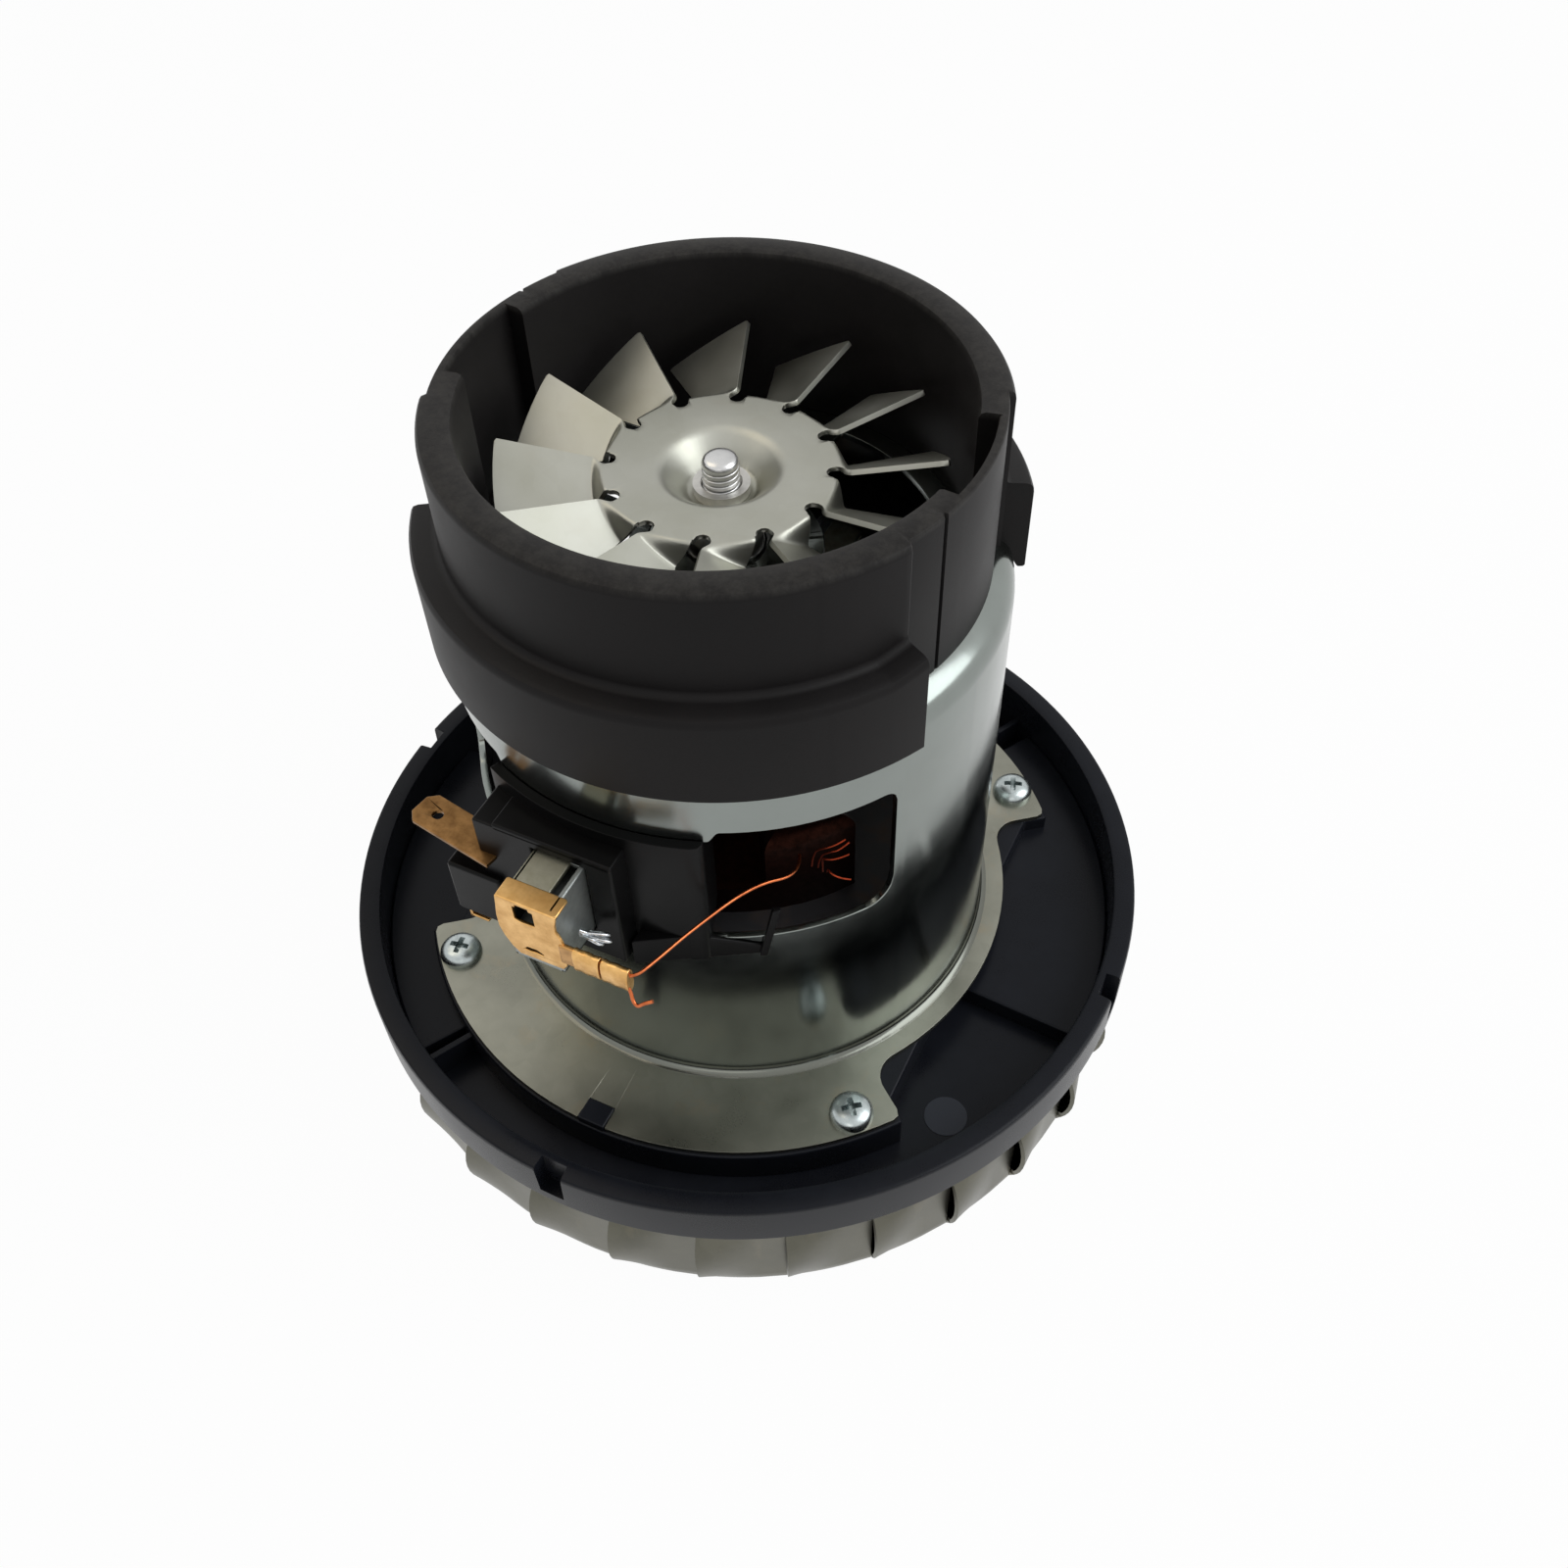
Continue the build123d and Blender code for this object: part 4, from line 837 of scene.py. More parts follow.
def ear_outline(middle):
    """Outline of one ear with its half of both waists, counter-clockwise from its start."""
    centre_ring = waist_radius + waist_round
    swing = math.degrees(math.asin(waist_round / centre_ring))
    start = middle - ear_half
    points = [polar(waist_radius, a) for a in steps(middle - 90, start - swing, 10)]
    cx, cy, _ = polar(centre_ring, start - swing)
    for turn in steps(180, 90, 6)[1:]:
        x, y = ring_point(waist_round, start - swing + turn)
        points.append((cx + x, cy + y, 0))
    round_end = math.degrees(ear_corner / ear_radius)
    points.append(polar(ear_radius - ear_corner, start))
    points.append(polar(ear_radius - ear_chamfer, start + round_end * chamfer_share))
    half_notch = math.degrees(ear_notch_half / ear_radius)
    points += [polar(ear_radius, a) for a in steps(start + round_end, middle - half_notch, ear_steps)]
    points.append(polar(ear_notch_floor, middle - half_notch))
    return points + [mirrored(point, middle) for point in reversed(points)][:-1]


flange_columns = []
for x, y, _ in ear_outline(270) + ear_outline(90):
    inner = ring_point(flange_inner, math.degrees(math.atan2(y, x)))
    column = [(*inner, flange_low), (x, y, flange_low), (x, y, flange_top), (*inner, flange_top)]
    flange_columns.append(column)
flange_points, flange_faces = skin(flange_columns)
flange = clean(make_object("can_flange", flange_points, flange_faces, flange_zinc))
fit(soften(flange, 0.18), "chassis", "galvanised_sheet", "motor_can")

# %% [markdown]
# ## Flange screws
# Pan-head screws with a cross recess. The recess is cut from a turned head by two crossed wedges, which
# a Boolean modifier does at once.

# %% Flange screws
screw_ring = 57.4
screw_profile = [(0.01, flange_top), (3.9, flange_top), (3.95, 31.9), (3.75, 32.7), (3.2, 33.4),
                 (2.3, 33.85), (1.2, 34.02), (0.01, 34.05)]
recess_foot, recess_mouth = (1.0, 0.25, 32.4), (2.15, 0.62, 34.6)
wedge_faces = ((3, 2, 1, 0), (4, 5, 6, 7), (0, 1, 5, 4), (1, 2, 6, 5), (2, 3, 7, 6), (3, 0, 4, 7))


def cross_cutter(name):
    """Two crossed wedges that narrow downward, each from its half length, half width and height."""
    points, faces = [], []
    for turn in (0, 90):
        base = len(points)
        for half_length, half_width, z in (recess_foot, recess_mouth):
            for sx, sy in ((-1, -1), (1, -1), (1, 1), (-1, 1)):
                points.append(turned((sx * half_length, sy * half_width, z), turn))
        faces += [tuple(base + i for i in face) for face in wedge_faces]
    return make_object(name, points, faces, bright_zinc)


def make_screw(name, angle, turn):
    """One screw head with its recess, turned by a different amount each time."""
    head = lathe(name, screw_profile, bright_zinc, count=40)
    cut_out(head, cross_cutter(name + "_recess"), own_overlaps=True)
    place = Matrix.Translation(Vector(polar(screw_ring, angle)) * MM)
    head.data.transform(place @ Matrix.Rotation(math.radians(turn), 4, "Z"))
    fit(soften(head, sharp=30.0), "chassis", "zinc_screw", "flange_screws")


for index, (screw_angle, screw_turn) in enumerate(((45, 20), (135, 65), (225, 10), (315, 38))):
    make_screw(f"pan_screw_{index + 1}", screw_angle, screw_turn)

# %% [markdown]
# ## Black dish
# The rim is skinned like the cowl: its section drops at four notches. The floor is turned. The raised
# shelf in each air channel and the platform under the flange are plates with rounded edges.

# %% Dish rim
rim_outer, rim_inner, rim_top, rim_low, rim_shoulder = 75.0, 70.9, 36.5, 21.0, 26.5
lip_inner, lip_middle, notch_floor, dish_step = 71.5, 72.3, 29.0, 69.2
notch_half_width, notch_edge_angle = 2.5, 0.12
notch_half = math.degrees(math.asin(notch_half_width / rim_outer))
rim_under = [(dish_step, rim_low), (71.1, rim_low), (71.1, rim_shoulder), (74.7, rim_shoulder),
             (rim_outer, rim_shoulder + 0.3)]
rim_inside = [(71.05, 36.3), (rim_inner, 35.9), (rim_inner, 24.3), (70.5, 23.6), (dish_step, 23.3)]


def rim_section(angle):
    """Closed section of the rim, with its outer part lowered in a notch."""
    if turn_to_nearest(angle, (0, 90, 180, 270)) < notch_half:
        upper = [(rim_outer, notch_floor), (74.0, notch_floor), (lip_middle, notch_floor)]
    else:
        upper = [(rim_outer, 35.6), (74.8, 36.2), (74.2, rim_top)]
    return rim_under + upper + [(lip_middle, rim_top), (lip_inner, rim_top)] + rim_inside


notch_edges = [notch_half - notch_edge_angle, notch_half + notch_edge_angle]
turns = [side * edge for side in (-1, 1) for edge in notch_edges]
rim_angles = {round((90 * i + turn) % 360, 3) for i in range(4) for turn in turns}
rim_angles |= set(range(0, 360, 2))
rim_points, rim_faces = skin([[polar(r, a, z) for r, z in rim_section(a)] for a in sorted(rim_angles)])
dish_rim = make_object("dish_rim", rim_points, rim_faces, dish_black)
fit(soften(dish_rim, 0.12, 40.0), "chassis", "gloss_black_moulding", "air_dish")

# %% Dish floor, shelves and platform
dish_bore, floor_top, plate_foot, shelf_top, platform_top = 12.4, 23.5, 23.3, 27.5, 30.48
shelf_outer, shelf_inner, shelf_start, shelf_start_inside, shelf_end = 70.85, 44.0, -5.6, -7, 58
platform_radius, platform_half_width = 62.0, 45.5
floor_profile = [(dish_bore, rim_low), (70.0, rim_low), (70.6, floor_top), (dish_bore, floor_top)]
fit(lathe("dish_floor", floor_profile, dish_black), "chassis", "gloss_black_moulding", "air_dish")


def shelf_outline():
    """Raised part of the channel floor, from its step round to under the next ear."""
    outer = [ring_point(shelf_outer, a) for a in steps(shelf_start, shelf_end, 26)]
    return outer + [ring_point(shelf_inner, a) for a in steps(shelf_end, shelf_start_inside, 10)]


def platform_outline():
    """Two sectors, front and back, joined by straight sides."""
    points = []
    edge_y = platform_half_width * math.tan(math.radians(90 - ear_half))
    for middle, side in ((270, 1), (90, -1)):
        points += [ring_point(platform_radius, a) for a in steps(middle - ear_half, middle + ear_half, 44)]
        points += [(side * platform_half_width, end * edge_y) for end in (-side, side)]
    return points


def fit_dish(piece):
    """Fits a piece of the dish and its twin."""
    fit_both(piece, "gloss_black_moulding", "air_dish", "air_dish")


fit_dish(slab("dish_shelf", shelf_outline(), plate_foot, shelf_top, dish_black, 0.5))
platform = slab("dish_platform", platform_outline(), plate_foot, platform_top, dish_black, 0.5)
fit(platform, "chassis", "gloss_black_moulding", "air_dish")

# %% Dish ribs, tabs and moulding marks
rib_angle, rib_half, rib_outer, rib_top, detail_foot = -29.0, 0.6, 71.0, 29.5, 23.4
tab_half, tab_inner, tab_outer, tab_low, tab_top = 2.6, 57.35, 61.6, 30.0, 32.0
mark_place, mark_radius, mark_top = (54.5, -30), 3.9, 23.62
rib = block("dish_rib", (-rib_half, rib_half), (tab_outer, rib_outer), (detail_foot, rib_top), dish_black)
rib.data.transform(Matrix.Rotation(math.radians(rib_angle), 4, "Z"))
fit_dish(rib)
tab_across, tab_out = (-tab_half, tab_half), (tab_inner, tab_outer)
fit_dish(block("dish_tab", tab_across, tab_out, (tab_low, tab_top), dish_black, 0.3))
fit_dish(slab("dish_mark", circle(mark_place, mark_radius, 40), detail_foot, mark_top, mark_black, 0.05))

# %% [markdown]
# ## Louvred cup
# The cup hides the working fan. Each louvre is a scoop pushed outward from the wall: highest at its open
# end and fading out over about eight degrees. The wall is one skin that bulges with the angle, and the
# scoop's open end is left without quads, so one looks through it into the cup.

# %% Rows of the cup
cup_outer, cup_top, cup_round, cup_sheet, cup_last_row = 72.0, 26.5, 5.0, 0.8, 22.6
louvre_count, louvre_span, louvre_reach = 29, 8.4, 2.75
louvre_first, louvre_middle, louvre_half, mouth_angle = 3.5, 12.6, 8.2, 0.05
bulge_power, fade_power = 0.8, 1.3
louvre_parts = (0.0, 0.12, 0.28, 0.45, 0.62, 0.8, 1.0)
louvre_height_shares = (-0.86, -0.7, -0.5, -0.25, 0, 0.25, 0.5, 0.7, 0.86, 1.0)
louvre_heights = [louvre_middle + louvre_half * share for share in louvre_height_shares]
cup_eye = [(19.4, 3.0), (19.2, 1.2), (20.0, 0.2), (21.0, 0.0), (44.0, 0.0)]


def cup_profile():
    """Rows of the cup from the lip of its eye, under the bottom and up the wall."""
    rows = list(cup_eye)
    for turn in steps(0, 90, 7):
        back, up = 1 - math.sin(math.radians(turn)), 1 - math.cos(math.radians(turn))
        rows.append((cup_outer - cup_round * back, cup_round * up))
    return rows + [(cup_outer, z) for z in (*louvre_heights, cup_last_row, cup_top - 0.02)]


# %% Louvres
cup_rows = cup_profile()
mouth_first = cup_rows.index((cup_outer, louvre_heights[0]))
mouth_last = cup_rows.index((cup_outer, louvre_heights[-1]))


def cup_column(angle, share):
    """One column, pushed out by the louvre: share is 1 at its open end and 0 at its root."""
    column = []
    for radius, height in cup_rows:
        across = min(abs(height - louvre_middle) / louvre_half, 1.0)
        radius += louvre_reach * share * (1 - across**2) ** bulge_power
        column.append(polar(radius, angle, height))
    return column


cup_columns, cup_mouths = [], set()
for index in range(louvre_count):
    start = louvre_first + 360 / louvre_count * index
    cup_mouths.add(len(cup_columns))
    cup_columns.append(cup_column(start - mouth_angle, 0.0))
    for part in louvre_parts:
        cup_columns.append(cup_column(start + louvre_span * part, (1 - part) ** fade_power))


def keep_cup(i, j):
    """Leaves the mouths of the scoops open."""
    return not (i in cup_mouths and mouth_first <= j < mouth_last)


cup_points, cup_faces = skin(cup_columns, closed=False, keep=keep_cup)
cup_faces = [tuple(reversed(face)) for face in cup_faces]
cup = clean(make_object("cup_wall", cup_points, cup_faces, cup_zinc), distance=0.01)
fit(soften(cup, 0.12, 50.0, cup_sheet), "chassis", "galvanised_sheet", "louvred_cup")

# %% [markdown]
# ## Cooling fan
# The fan is one stamping. Its hub is dished, a round notch relieves each blade root, and the blade is
# twisted so that its clockwise edge stays level with the hub and the other hangs down. One twelfth is
# laid out as a grid of rows outward and columns round, and repeated.

# %% Cooling fan sizes
hub_plane, hub_edge, blade_tip, blade_count, fan_sheet = 130.3, 17.2, 34.0, 12, 0.8
notch_angle, notch_ring, notch_radius, notch_back = 18.4, 17.4, 1.3, 0.5
blade_pitch, twist_start, twist_length = 33.0, 17.6, 1.9
root_chord, tip_chord, tip_lift, tip_corner = 6.1, 15.5, 3.0, 0.5
edge_offset, edge_spread, blade_columns = 0.25, 0.35, 8
hub_rows = [(3.9, -4.5), (5.0, -4.5), (5.6, -4.1), (6.6, -2.8), (8.4, -0.9), (9.3, -0.25), (10.2, 0.0),
            (13.0, 0.0), (15.2, 0.0)]
blade_rows = [17.45, 17.8, 18.1, 18.4, 18.7, 19.0, 19.3, 19.6, 20.5, 22.0, 24.5, 27.0, 30.0, 32.5, 33.7,
              blade_tip]
gap_columns = [-1.0, -0.8, -0.5, 0.0, 0.5, 0.8, 1.0]
print(blade_count, "blades out to", blade_tip, "mm")


# %% One twelfth of the fan
def blade_point(reach, across):
    """A point of the blade: across is 0 at its level edge and 1 at its hanging edge."""
    twist = smooth_step(min(max((reach - twist_start) / twist_length, 0.0), 1.0))
    tilt = math.radians(blade_pitch * twist)
    outward = max(reach - twist_start, 0.0) / (blade_tip - twist_start)
    chord = root_chord + (tip_chord - root_chord) * outward
    edge = notch_radius - (notch_radius - edge_offset - edge_spread * outward) * twist
    run = chord * across
    if reach == blade_tip:
        run = tip_corner + (chord - 2 * tip_corner) * across
    round_way = edge + run * math.cos(tilt)
    height = hub_plane + tip_lift * outward - run * math.sin(tilt)
    return (math.sqrt(reach**2 - round_way**2), round_way, height)


def hub_columns():
    """Columns of the hub over one twelfth, from its notch round to the end of the blade."""
    columns = []
    notch_side = math.degrees(math.asin(notch_radius / notch_ring))
    for place in gap_columns:
        edge = hub_edge - math.sqrt(max(0.0, notch_radius**2 - (place * notch_radius) ** 2))
        last = min(edge - notch_back, hub_rows[-1][0])
        rows = hub_rows[:-1] + [(last, 0.0), (edge, 0.0)]
        columns.append([polar(r, notch_side * place, hub_plane + z) for r, z in rows])
    for k in range(1, blade_columns + 1):
        x, y, _ = blade_point(blade_rows[0], k / blade_columns)
        angle = math.degrees(math.atan2(y, x))
        columns.append([polar(r, angle, hub_plane + z) for r, z in hub_rows + [(hub_edge, 0.0)]])
    return columns


# %% Quads of the fan
fan_points, fan_faces, fan_index = [], [], {}


def fan_vertex(point):
    """Index of a point, shared by all that meet there."""
    key = tuple(round(c, 3) for c in point)
    if key not in fan_index:
        fan_index[key] = len(fan_points)
        fan_points.append(point)
    return fan_index[key]


def fan_quads(left, after, flip=False):
    """Quads between two rows or columns of the grid."""
    for j in range(len(left) - 1):
        corners = (left[j], left[j + 1], after[j + 1], after[j])
        if flip:
            corners = (left[j], after[j], after[j + 1], left[j + 1])
        fan_faces.append(tuple(fan_vertex(p) for p in corners))


# %% Cooling fan
for index in range(blade_count):
    swing = notch_angle + 360 / blade_count * index
    ring = [[turned(p, swing) for p in column] for column in hub_columns()]
    ring.append([turned(p, swing + 360 / blade_count) for p in hub_columns()[0]])
    for left, after in zip(ring, ring[1:]):
        fan_quads(left, after)
    grid = [[column[-1] for column in ring[len(gap_columns) - 1:len(gap_columns) + blade_columns]]]
    for reach in blade_rows:
        row = [blade_point(reach, k / blade_columns) for k in range(blade_columns + 1)]
        grid.append([turned(point, swing) for point in row])
    for nearer, farther in zip(grid, grid[1:]):
        fan_quads(nearer, farther, flip=True)
fan_object = make_object("fan_sheet", fan_points, fan_faces, fan_zinc)
fan = clean(fan_object, distance=0.01, outward=False)
fit(soften(fan, 0.1, 50.0, fan_sheet, even=False), "rotor", "galvanised_sheet", "cooling_fan")

# %% [markdown]
# ## Shaft end
# An M6 thread stands out of the fan's hub. The thread is a skin whose radius rises and falls along a
# helix. A riveted bush holds the fan.

# %% Threaded stub
stub_foot, dome_foot, stub_top, dome_top_radius = 124.8, 130.7, 132.0, 1.5
thread_outer, thread_lead, groove_depth, groove_half = 2.88, 1.0, 0.5, 0.2


def thread_radius(angle, height):
    """Radius of the thread at a place: a narrow groove that climbs 1 mm a turn, under a smooth dome."""
    if height > dome_foot:
        up = (height - dome_foot) / (stub_top - dome_foot)
        return dome_top_radius + (thread_outer - dome_top_radius) * math.sqrt(max(0.0, 1 - up * up))
    away = abs((height - angle / 360) % thread_lead - thread_lead / 2)
    return thread_outer - groove_depth * max(0.0, 1 - away / groove_half)


stub_heights = steps(stub_foot, dome_foot, 90) + steps(dome_foot, stub_top, 8)[1:]
stub_columns = []
for a in range(0, 360, 9):
    column = [polar(thread_radius(a, z), a, z) for z in stub_heights]
    stub_columns.append(column + [polar(r, a, stub_top) for r in (0.8, 0.01)])
stub_points, stub_faces = skin(stub_columns, closed=False)
stub = make_object("threaded_stub", stub_points, stub_faces, ground_steel)
fit(soften(stub, sharp=60.0), "rotor", "ground_steel", "rotor_shaft")

# %% Shaft and bush
rod_radius, rod_chamfer, rod_top, neck_radius, neck_top = 4.0, 0.4, 119.0, 2.6, 124.9
shaft_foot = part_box("rotor_shaft")[0][2] / MM
rod_profile = [
    (0.01, shaft_foot), (rod_radius - rod_chamfer, shaft_foot), (rod_radius, shaft_foot + rod_chamfer),
    (rod_radius, rod_top - rod_chamfer), (rod_radius - rod_chamfer, rod_top), (neck_radius, rod_top),
    (neck_radius, neck_top), (0.01, neck_top)
]
rod = lathe("shaft_rod", rod_profile, ground_steel, count=48)
fit(soften(rod, sharp=30.0), "rotor", "ground_steel", "rotor_shaft")
bush_profile = [(2.5, 125.2), (4.3, 125.2), (4.4, 125.7), (4.3, 126.5), (3.95, 127.0), (3.4, 127.2),
                (2.9, 126.9), (2.5, 126.6)]
fit(lathe("bush_rim", bush_profile, turned_steel, count=64), "rotor", "turned_steel")

# %% [markdown]
# ## Brush holder
# The moulded holder is a curved body that fills part of the can window, a hood round the brush box, a
# block for the terminal and a foot that braces it against the can. Each is a plate or a wedge with
# rounded edges, and together they read as one moulding. The way of the brush box is cut through them.

# %% Brush holder sizes
holder_left, holder_bend, holder_right = 245.6, 289.6, 291.7
shell_outer, shell_inner, shell_low, shell_high = 47.2, 37.0, 73.1, 96.9
face_outer, face_inner, face_high, holder_low = 47.25, 45.6, 97.5, 69.0
foot_left, foot_bend, foot_right, foot_gap = 6.4, 15.0, 24.6, 0.05
foot_high, foot_end_high, foot_out, foot_end_out = 75.0, 70.8, 49.7, 38.9
hook_inner, hook_outer, hook_start, hook_end, hook_top, hook_lean = 45.58, 46.6, 300.9, 302.5, 80.5, 0.25
box_left, box_right, box_low, box_high, box_side_rise, box_gap = -8.0, 1.0, 77.0, 92.0, 0.6, 0.08
box_way, shell_back_start = (20.0, 62.0), 291.0
# Name, X, distance out from the axis, height, and the rounding of the edges
holder_blocks = (
    ("holder_hood", (-18.6, 5.8), (43.0, 51.0), (70.5, 94.4), 0.5),
    ("holder_step", (-14.9, 5.8), (43.6, 51.0), (93.6, 95.0), 0.35),
    ("terminal_block", (-25.2, -15.2), (43.0, 52.2), (69.5, 81.5), 0.6),
)
print("holder", face_high - holder_low, "mm high, box", box_right - box_left, "mm wide")


# %% Shapes of the brush holder
def curved_outline(outer, corner_places, back):
    """Outline of a curved plate: its outer arc, the places of its right corner, and its inner side."""
    front = [ring_point(outer, a) for a in steps(holder_left, holder_bend, 30)]
    return front + [ring_point(r, a) for r, a in corner_places] + back


def foot_columns():
    """Sections of the wedge between the holder and the can, lower and thinner towards its end."""
    columns = []
    for x in steps(foot_left, foot_right, 14):
        out = foot_out + (foot_end_out - foot_out) * (x - foot_left) / (foot_right - foot_left)
        fall = (foot_high - foot_end_high) * max(x - foot_bend, 0.0) / (foot_right - foot_bend)
        inner = math.sqrt(can_outer**2 - x**2) + foot_gap
        columns.append([(x, -y, z) for y, z in ((inner, holder_low), (out, holder_low),
                                                 (out, foot_high - fall), (inner, foot_high - fall))])
    return columns


def cut_way_for_box(piece):
    """Cuts the way of the brush box, with the brush in it, through a piece of the holder."""
    across = (box_left - box_gap, box_right + box_gap)
    upward = (box_low - box_gap, box_high + box_side_rise + box_gap)
    cut_out(piece, block("box_way", across, box_way, upward, holder_black, 0.0))


# %% Brush holder
shell_back = [ring_point(shell_inner, a) for a in steps(shell_back_start, holder_left, 16)]
shell_corner = ((46.95, 290.7), (46.3, 291.4), (45.2, holder_right), (shell_inner, holder_right))
shell_outline = curved_outline(shell_outer, shell_corner, shell_back)
face_back = [ring_point(face_inner, a) for a in steps(holder_right, holder_left, 30)]
face_outline = curved_outline(face_outer, ((47.0, 290.8), (46.4, 291.5)), face_back)
holder_pieces = [
    slab("holder_shell", shell_outline, shell_low, shell_high, holder_black, 0.3),
    slab("holder_face", face_outline, holder_low, face_high, holder_black, 0.4),
]
for name, across, out, upward, rounding in holder_blocks:
    holder_pieces.append(block(name, across, out, upward, holder_black, rounding))
foot_points, foot_faces = skin(foot_columns(), wrap=False)
foot = clean(make_object("holder_foot", foot_points, foot_faces, holder_black))
hook_outline = [ring_point(hook_inner, hook_start), ring_point(hook_outer, hook_start)]
hook_outline += [ring_point(hook_outer, hook_end), ring_point(hook_inner, hook_end)]
hook = slab("holder_hook", hook_outline, holder_low, hook_top, holder_black)
for vertex in hook.data.vertices:
    lean = Matrix.Rotation(math.radians(hook_lean * (vertex.co.z / MM - holder_low)), 3, "Z")
    vertex.co = lean @ vertex.co
holder_pieces += [soften(foot, 0.25), hook]
for piece in holder_pieces[:3]:
    cut_way_for_box(piece)
fit_gear(holder_pieces, "gloss_black_moulding", "brush_holder")

# %% [markdown]
# ## Brush box and brass clip
# The brush slides in a folded steel box. A brass clip closes its end: a lip on top, a plate with a
# window and a slot, and an arm whose folded barrel grips the copper lead. The tab is a push-on terminal.

# %% Brush box
box_wall, box_inner, box_outer, slot_inner, slot_outer = 0.9, 22.0, 60.0, 50.5, 56.4
seam_left, seam_right = -1.7, -1.6
whole_box, box_roof = (box_inner, box_outer), (box_high - box_wall, box_high)
# Name, X, distance out from the axis, height, metal, and the rounding of the edges
box_plates = (
    ("box_top_plate", (box_left, seam_right), whole_box, box_roof, pale_steel, 0.2),
    ("box_top_back", (seam_left, box_right), (box_inner, slot_inner), box_roof, grey_steel, 0.2),
    ("box_top_end", (seam_left, box_right), (slot_outer, box_outer), box_roof, grey_steel, 0.2),
    ("box_right_side", (box_right - box_wall, box_right), whole_box, (box_low, box_high + box_side_rise),
     grey_steel, 0.3),
    ("box_left_side", (box_left, box_left + box_wall), whole_box, (box_low, box_high), grey_steel, 0.3),
    ("box_bottom", (box_left, box_right), whole_box, (box_low, box_low + box_wall), grey_steel, 0.3),
)
fit_gear([block(*plate) for plate in box_plates], "grey_steel", "brush_box")


# %% Flat plates with holes
def curve_to_piece(name, curve, material):
    """Turns a drawn curve into a mesh piece of one material."""
    drawn = show(name, curve)
    mesh = finished_mesh(drawn)
    bpy.data.objects.remove(drawn)
    made = show(name, mesh)
    made.data.materials.clear()
    made.data.materials.append(material)
    return made


def upright_plate(name, outline, holes, out, thickness, material, width):
    """A plate that faces front: outline and holes are points of X and height."""
    curve = bpy.data.curves.new(name, "CURVE")
    curve.dimensions = "2D"
    curve.fill_mode = "BOTH"
    curve.extrude = thickness / 2 * MM
    for loop in [outline] + holes:
        spline = curve.splines.new("POLY")
        spline.points.add(len(loop) - 1)
        spline.use_cyclic_u = True
        for point, (x, z) in zip(spline.points, loop):
            point.co = (x * MM, z * MM, 0, 1)
    made = curve_to_piece(name, curve, material)
    stand = Matrix.Rotation(math.radians(90), 4, "X")
    made.data.transform(Matrix.Translation((0, -(out + thickness / 2) * MM, 0)) @ stand)
    return soften(clean(made), width)


# %% Brass clip
clip_inner, clip_sheet, lip_low, lip_high = 60.05, 0.6, 92.02, 92.6
clip_outer = clip_inner + clip_sheet
clip_outline = [(-8.6, 92.5), (-8.8, 90.6), (-9.2, 87.4), (-9.2, 84.6), (-8.6, 82.4), (-7.5, 80.2),
                (-6.4, 79.0), (1.5, 79.3), (2.2, 80.4), (2.5, 83.0), (2.4, 85.4), (1.9, 87.2), (1.3, 88.6),
                (1.4, 90.2), (1.9, 92.5)]
clip_window = [(-5.8, 88.0), (-4.6, 87.8), (-2.3, 87.9), (-2.3, 91.3), (-3.0, 91.3), (-3.0, 91.9),
               (-5.2, 91.9), (-5.2, 91.3), (-5.8, 91.2)]
clip_slot = [(-5.4, 80.6), (-4.6, 81.5), (-2.8, 81.6), (-1.9, 81.1), (-1.9, 80.5), (-3.3, 80.7),
             (-4.4, 80.5)]
lip_outline = [(-8.6, -57.1), (-8.6, -60.2), (-8.2, -clip_outer), (1.5, -clip_outer), (1.9, -60.2),
               (1.9, -57.2), (1.6, -56.8), (-8.4, -56.8)]
clip_holes = [clip_window, clip_slot]
clip_pieces = [
    upright_plate("clip_plate", clip_outline, clip_holes, clip_inner, clip_sheet, brass, 0.14),
    slab("clip_lip", lip_outline, lip_low, lip_high, brass),
]
# Name, X, distance out from the axis, height, metal, and the rounding of the edges
# The clip's arm and neck take the darker brass, which is painted shade.
clip_blocks = (
    ("clip_arm", (1.8, 13.0), (clip_inner, clip_outer), (82.1, 85.3), shaded_brass, 0.12),
    ("clip_neck", (1.4, 4.6), (60.0, 60.9), (81.4, 85.9), shaded_brass, 0.3),
)
clip_pieces += [block(*arm) for arm in clip_blocks]
fit_gear(clip_pieces, "brass_strip", "brush_bracket")

# %% Folded barrel for the lead
barrel_out, barrel_height, barrel_half_depth, barrel_half_height = 60.55, 83.7, 0.98, 2.55
barrel_power, barrel_pinch = 0.7, 0.07


def flattened(value):
    """A cosine or sine made blunter, for a section between a circle and a box."""
    return math.copysign(abs(value) ** barrel_power, value)


def barrel(name, start, end):
    """A flattened tube along X that grips the arm and the lead."""
    columns = []
    for x in steps(start, end, 10):
        middle = math.cos(2 * math.pi * (x - start) / (end - start)) ** 2
        pinch = 1 - barrel_pinch + barrel_pinch * middle
        column = []
        for turn in (math.radians(a) for a in range(0, 360, 20)):
            out = barrel_out + barrel_half_depth * flattened(math.cos(turn)) * pinch
            height = barrel_height + barrel_half_height * flattened(math.sin(turn)) * pinch
            column.append((x, -out, height))
        columns.append(column)
    points, faces = skin(columns, wrap=False)
    return soften(clean(make_object(name, points, faces, brass)), 0.18)


for name, start, end in (("crimp_inner", 4.0, 8.5), ("crimp_outer", 8.8, 13.4)):
    fit_gear([barrel(name, start, end)], "brass_strip", "lead_crimp")

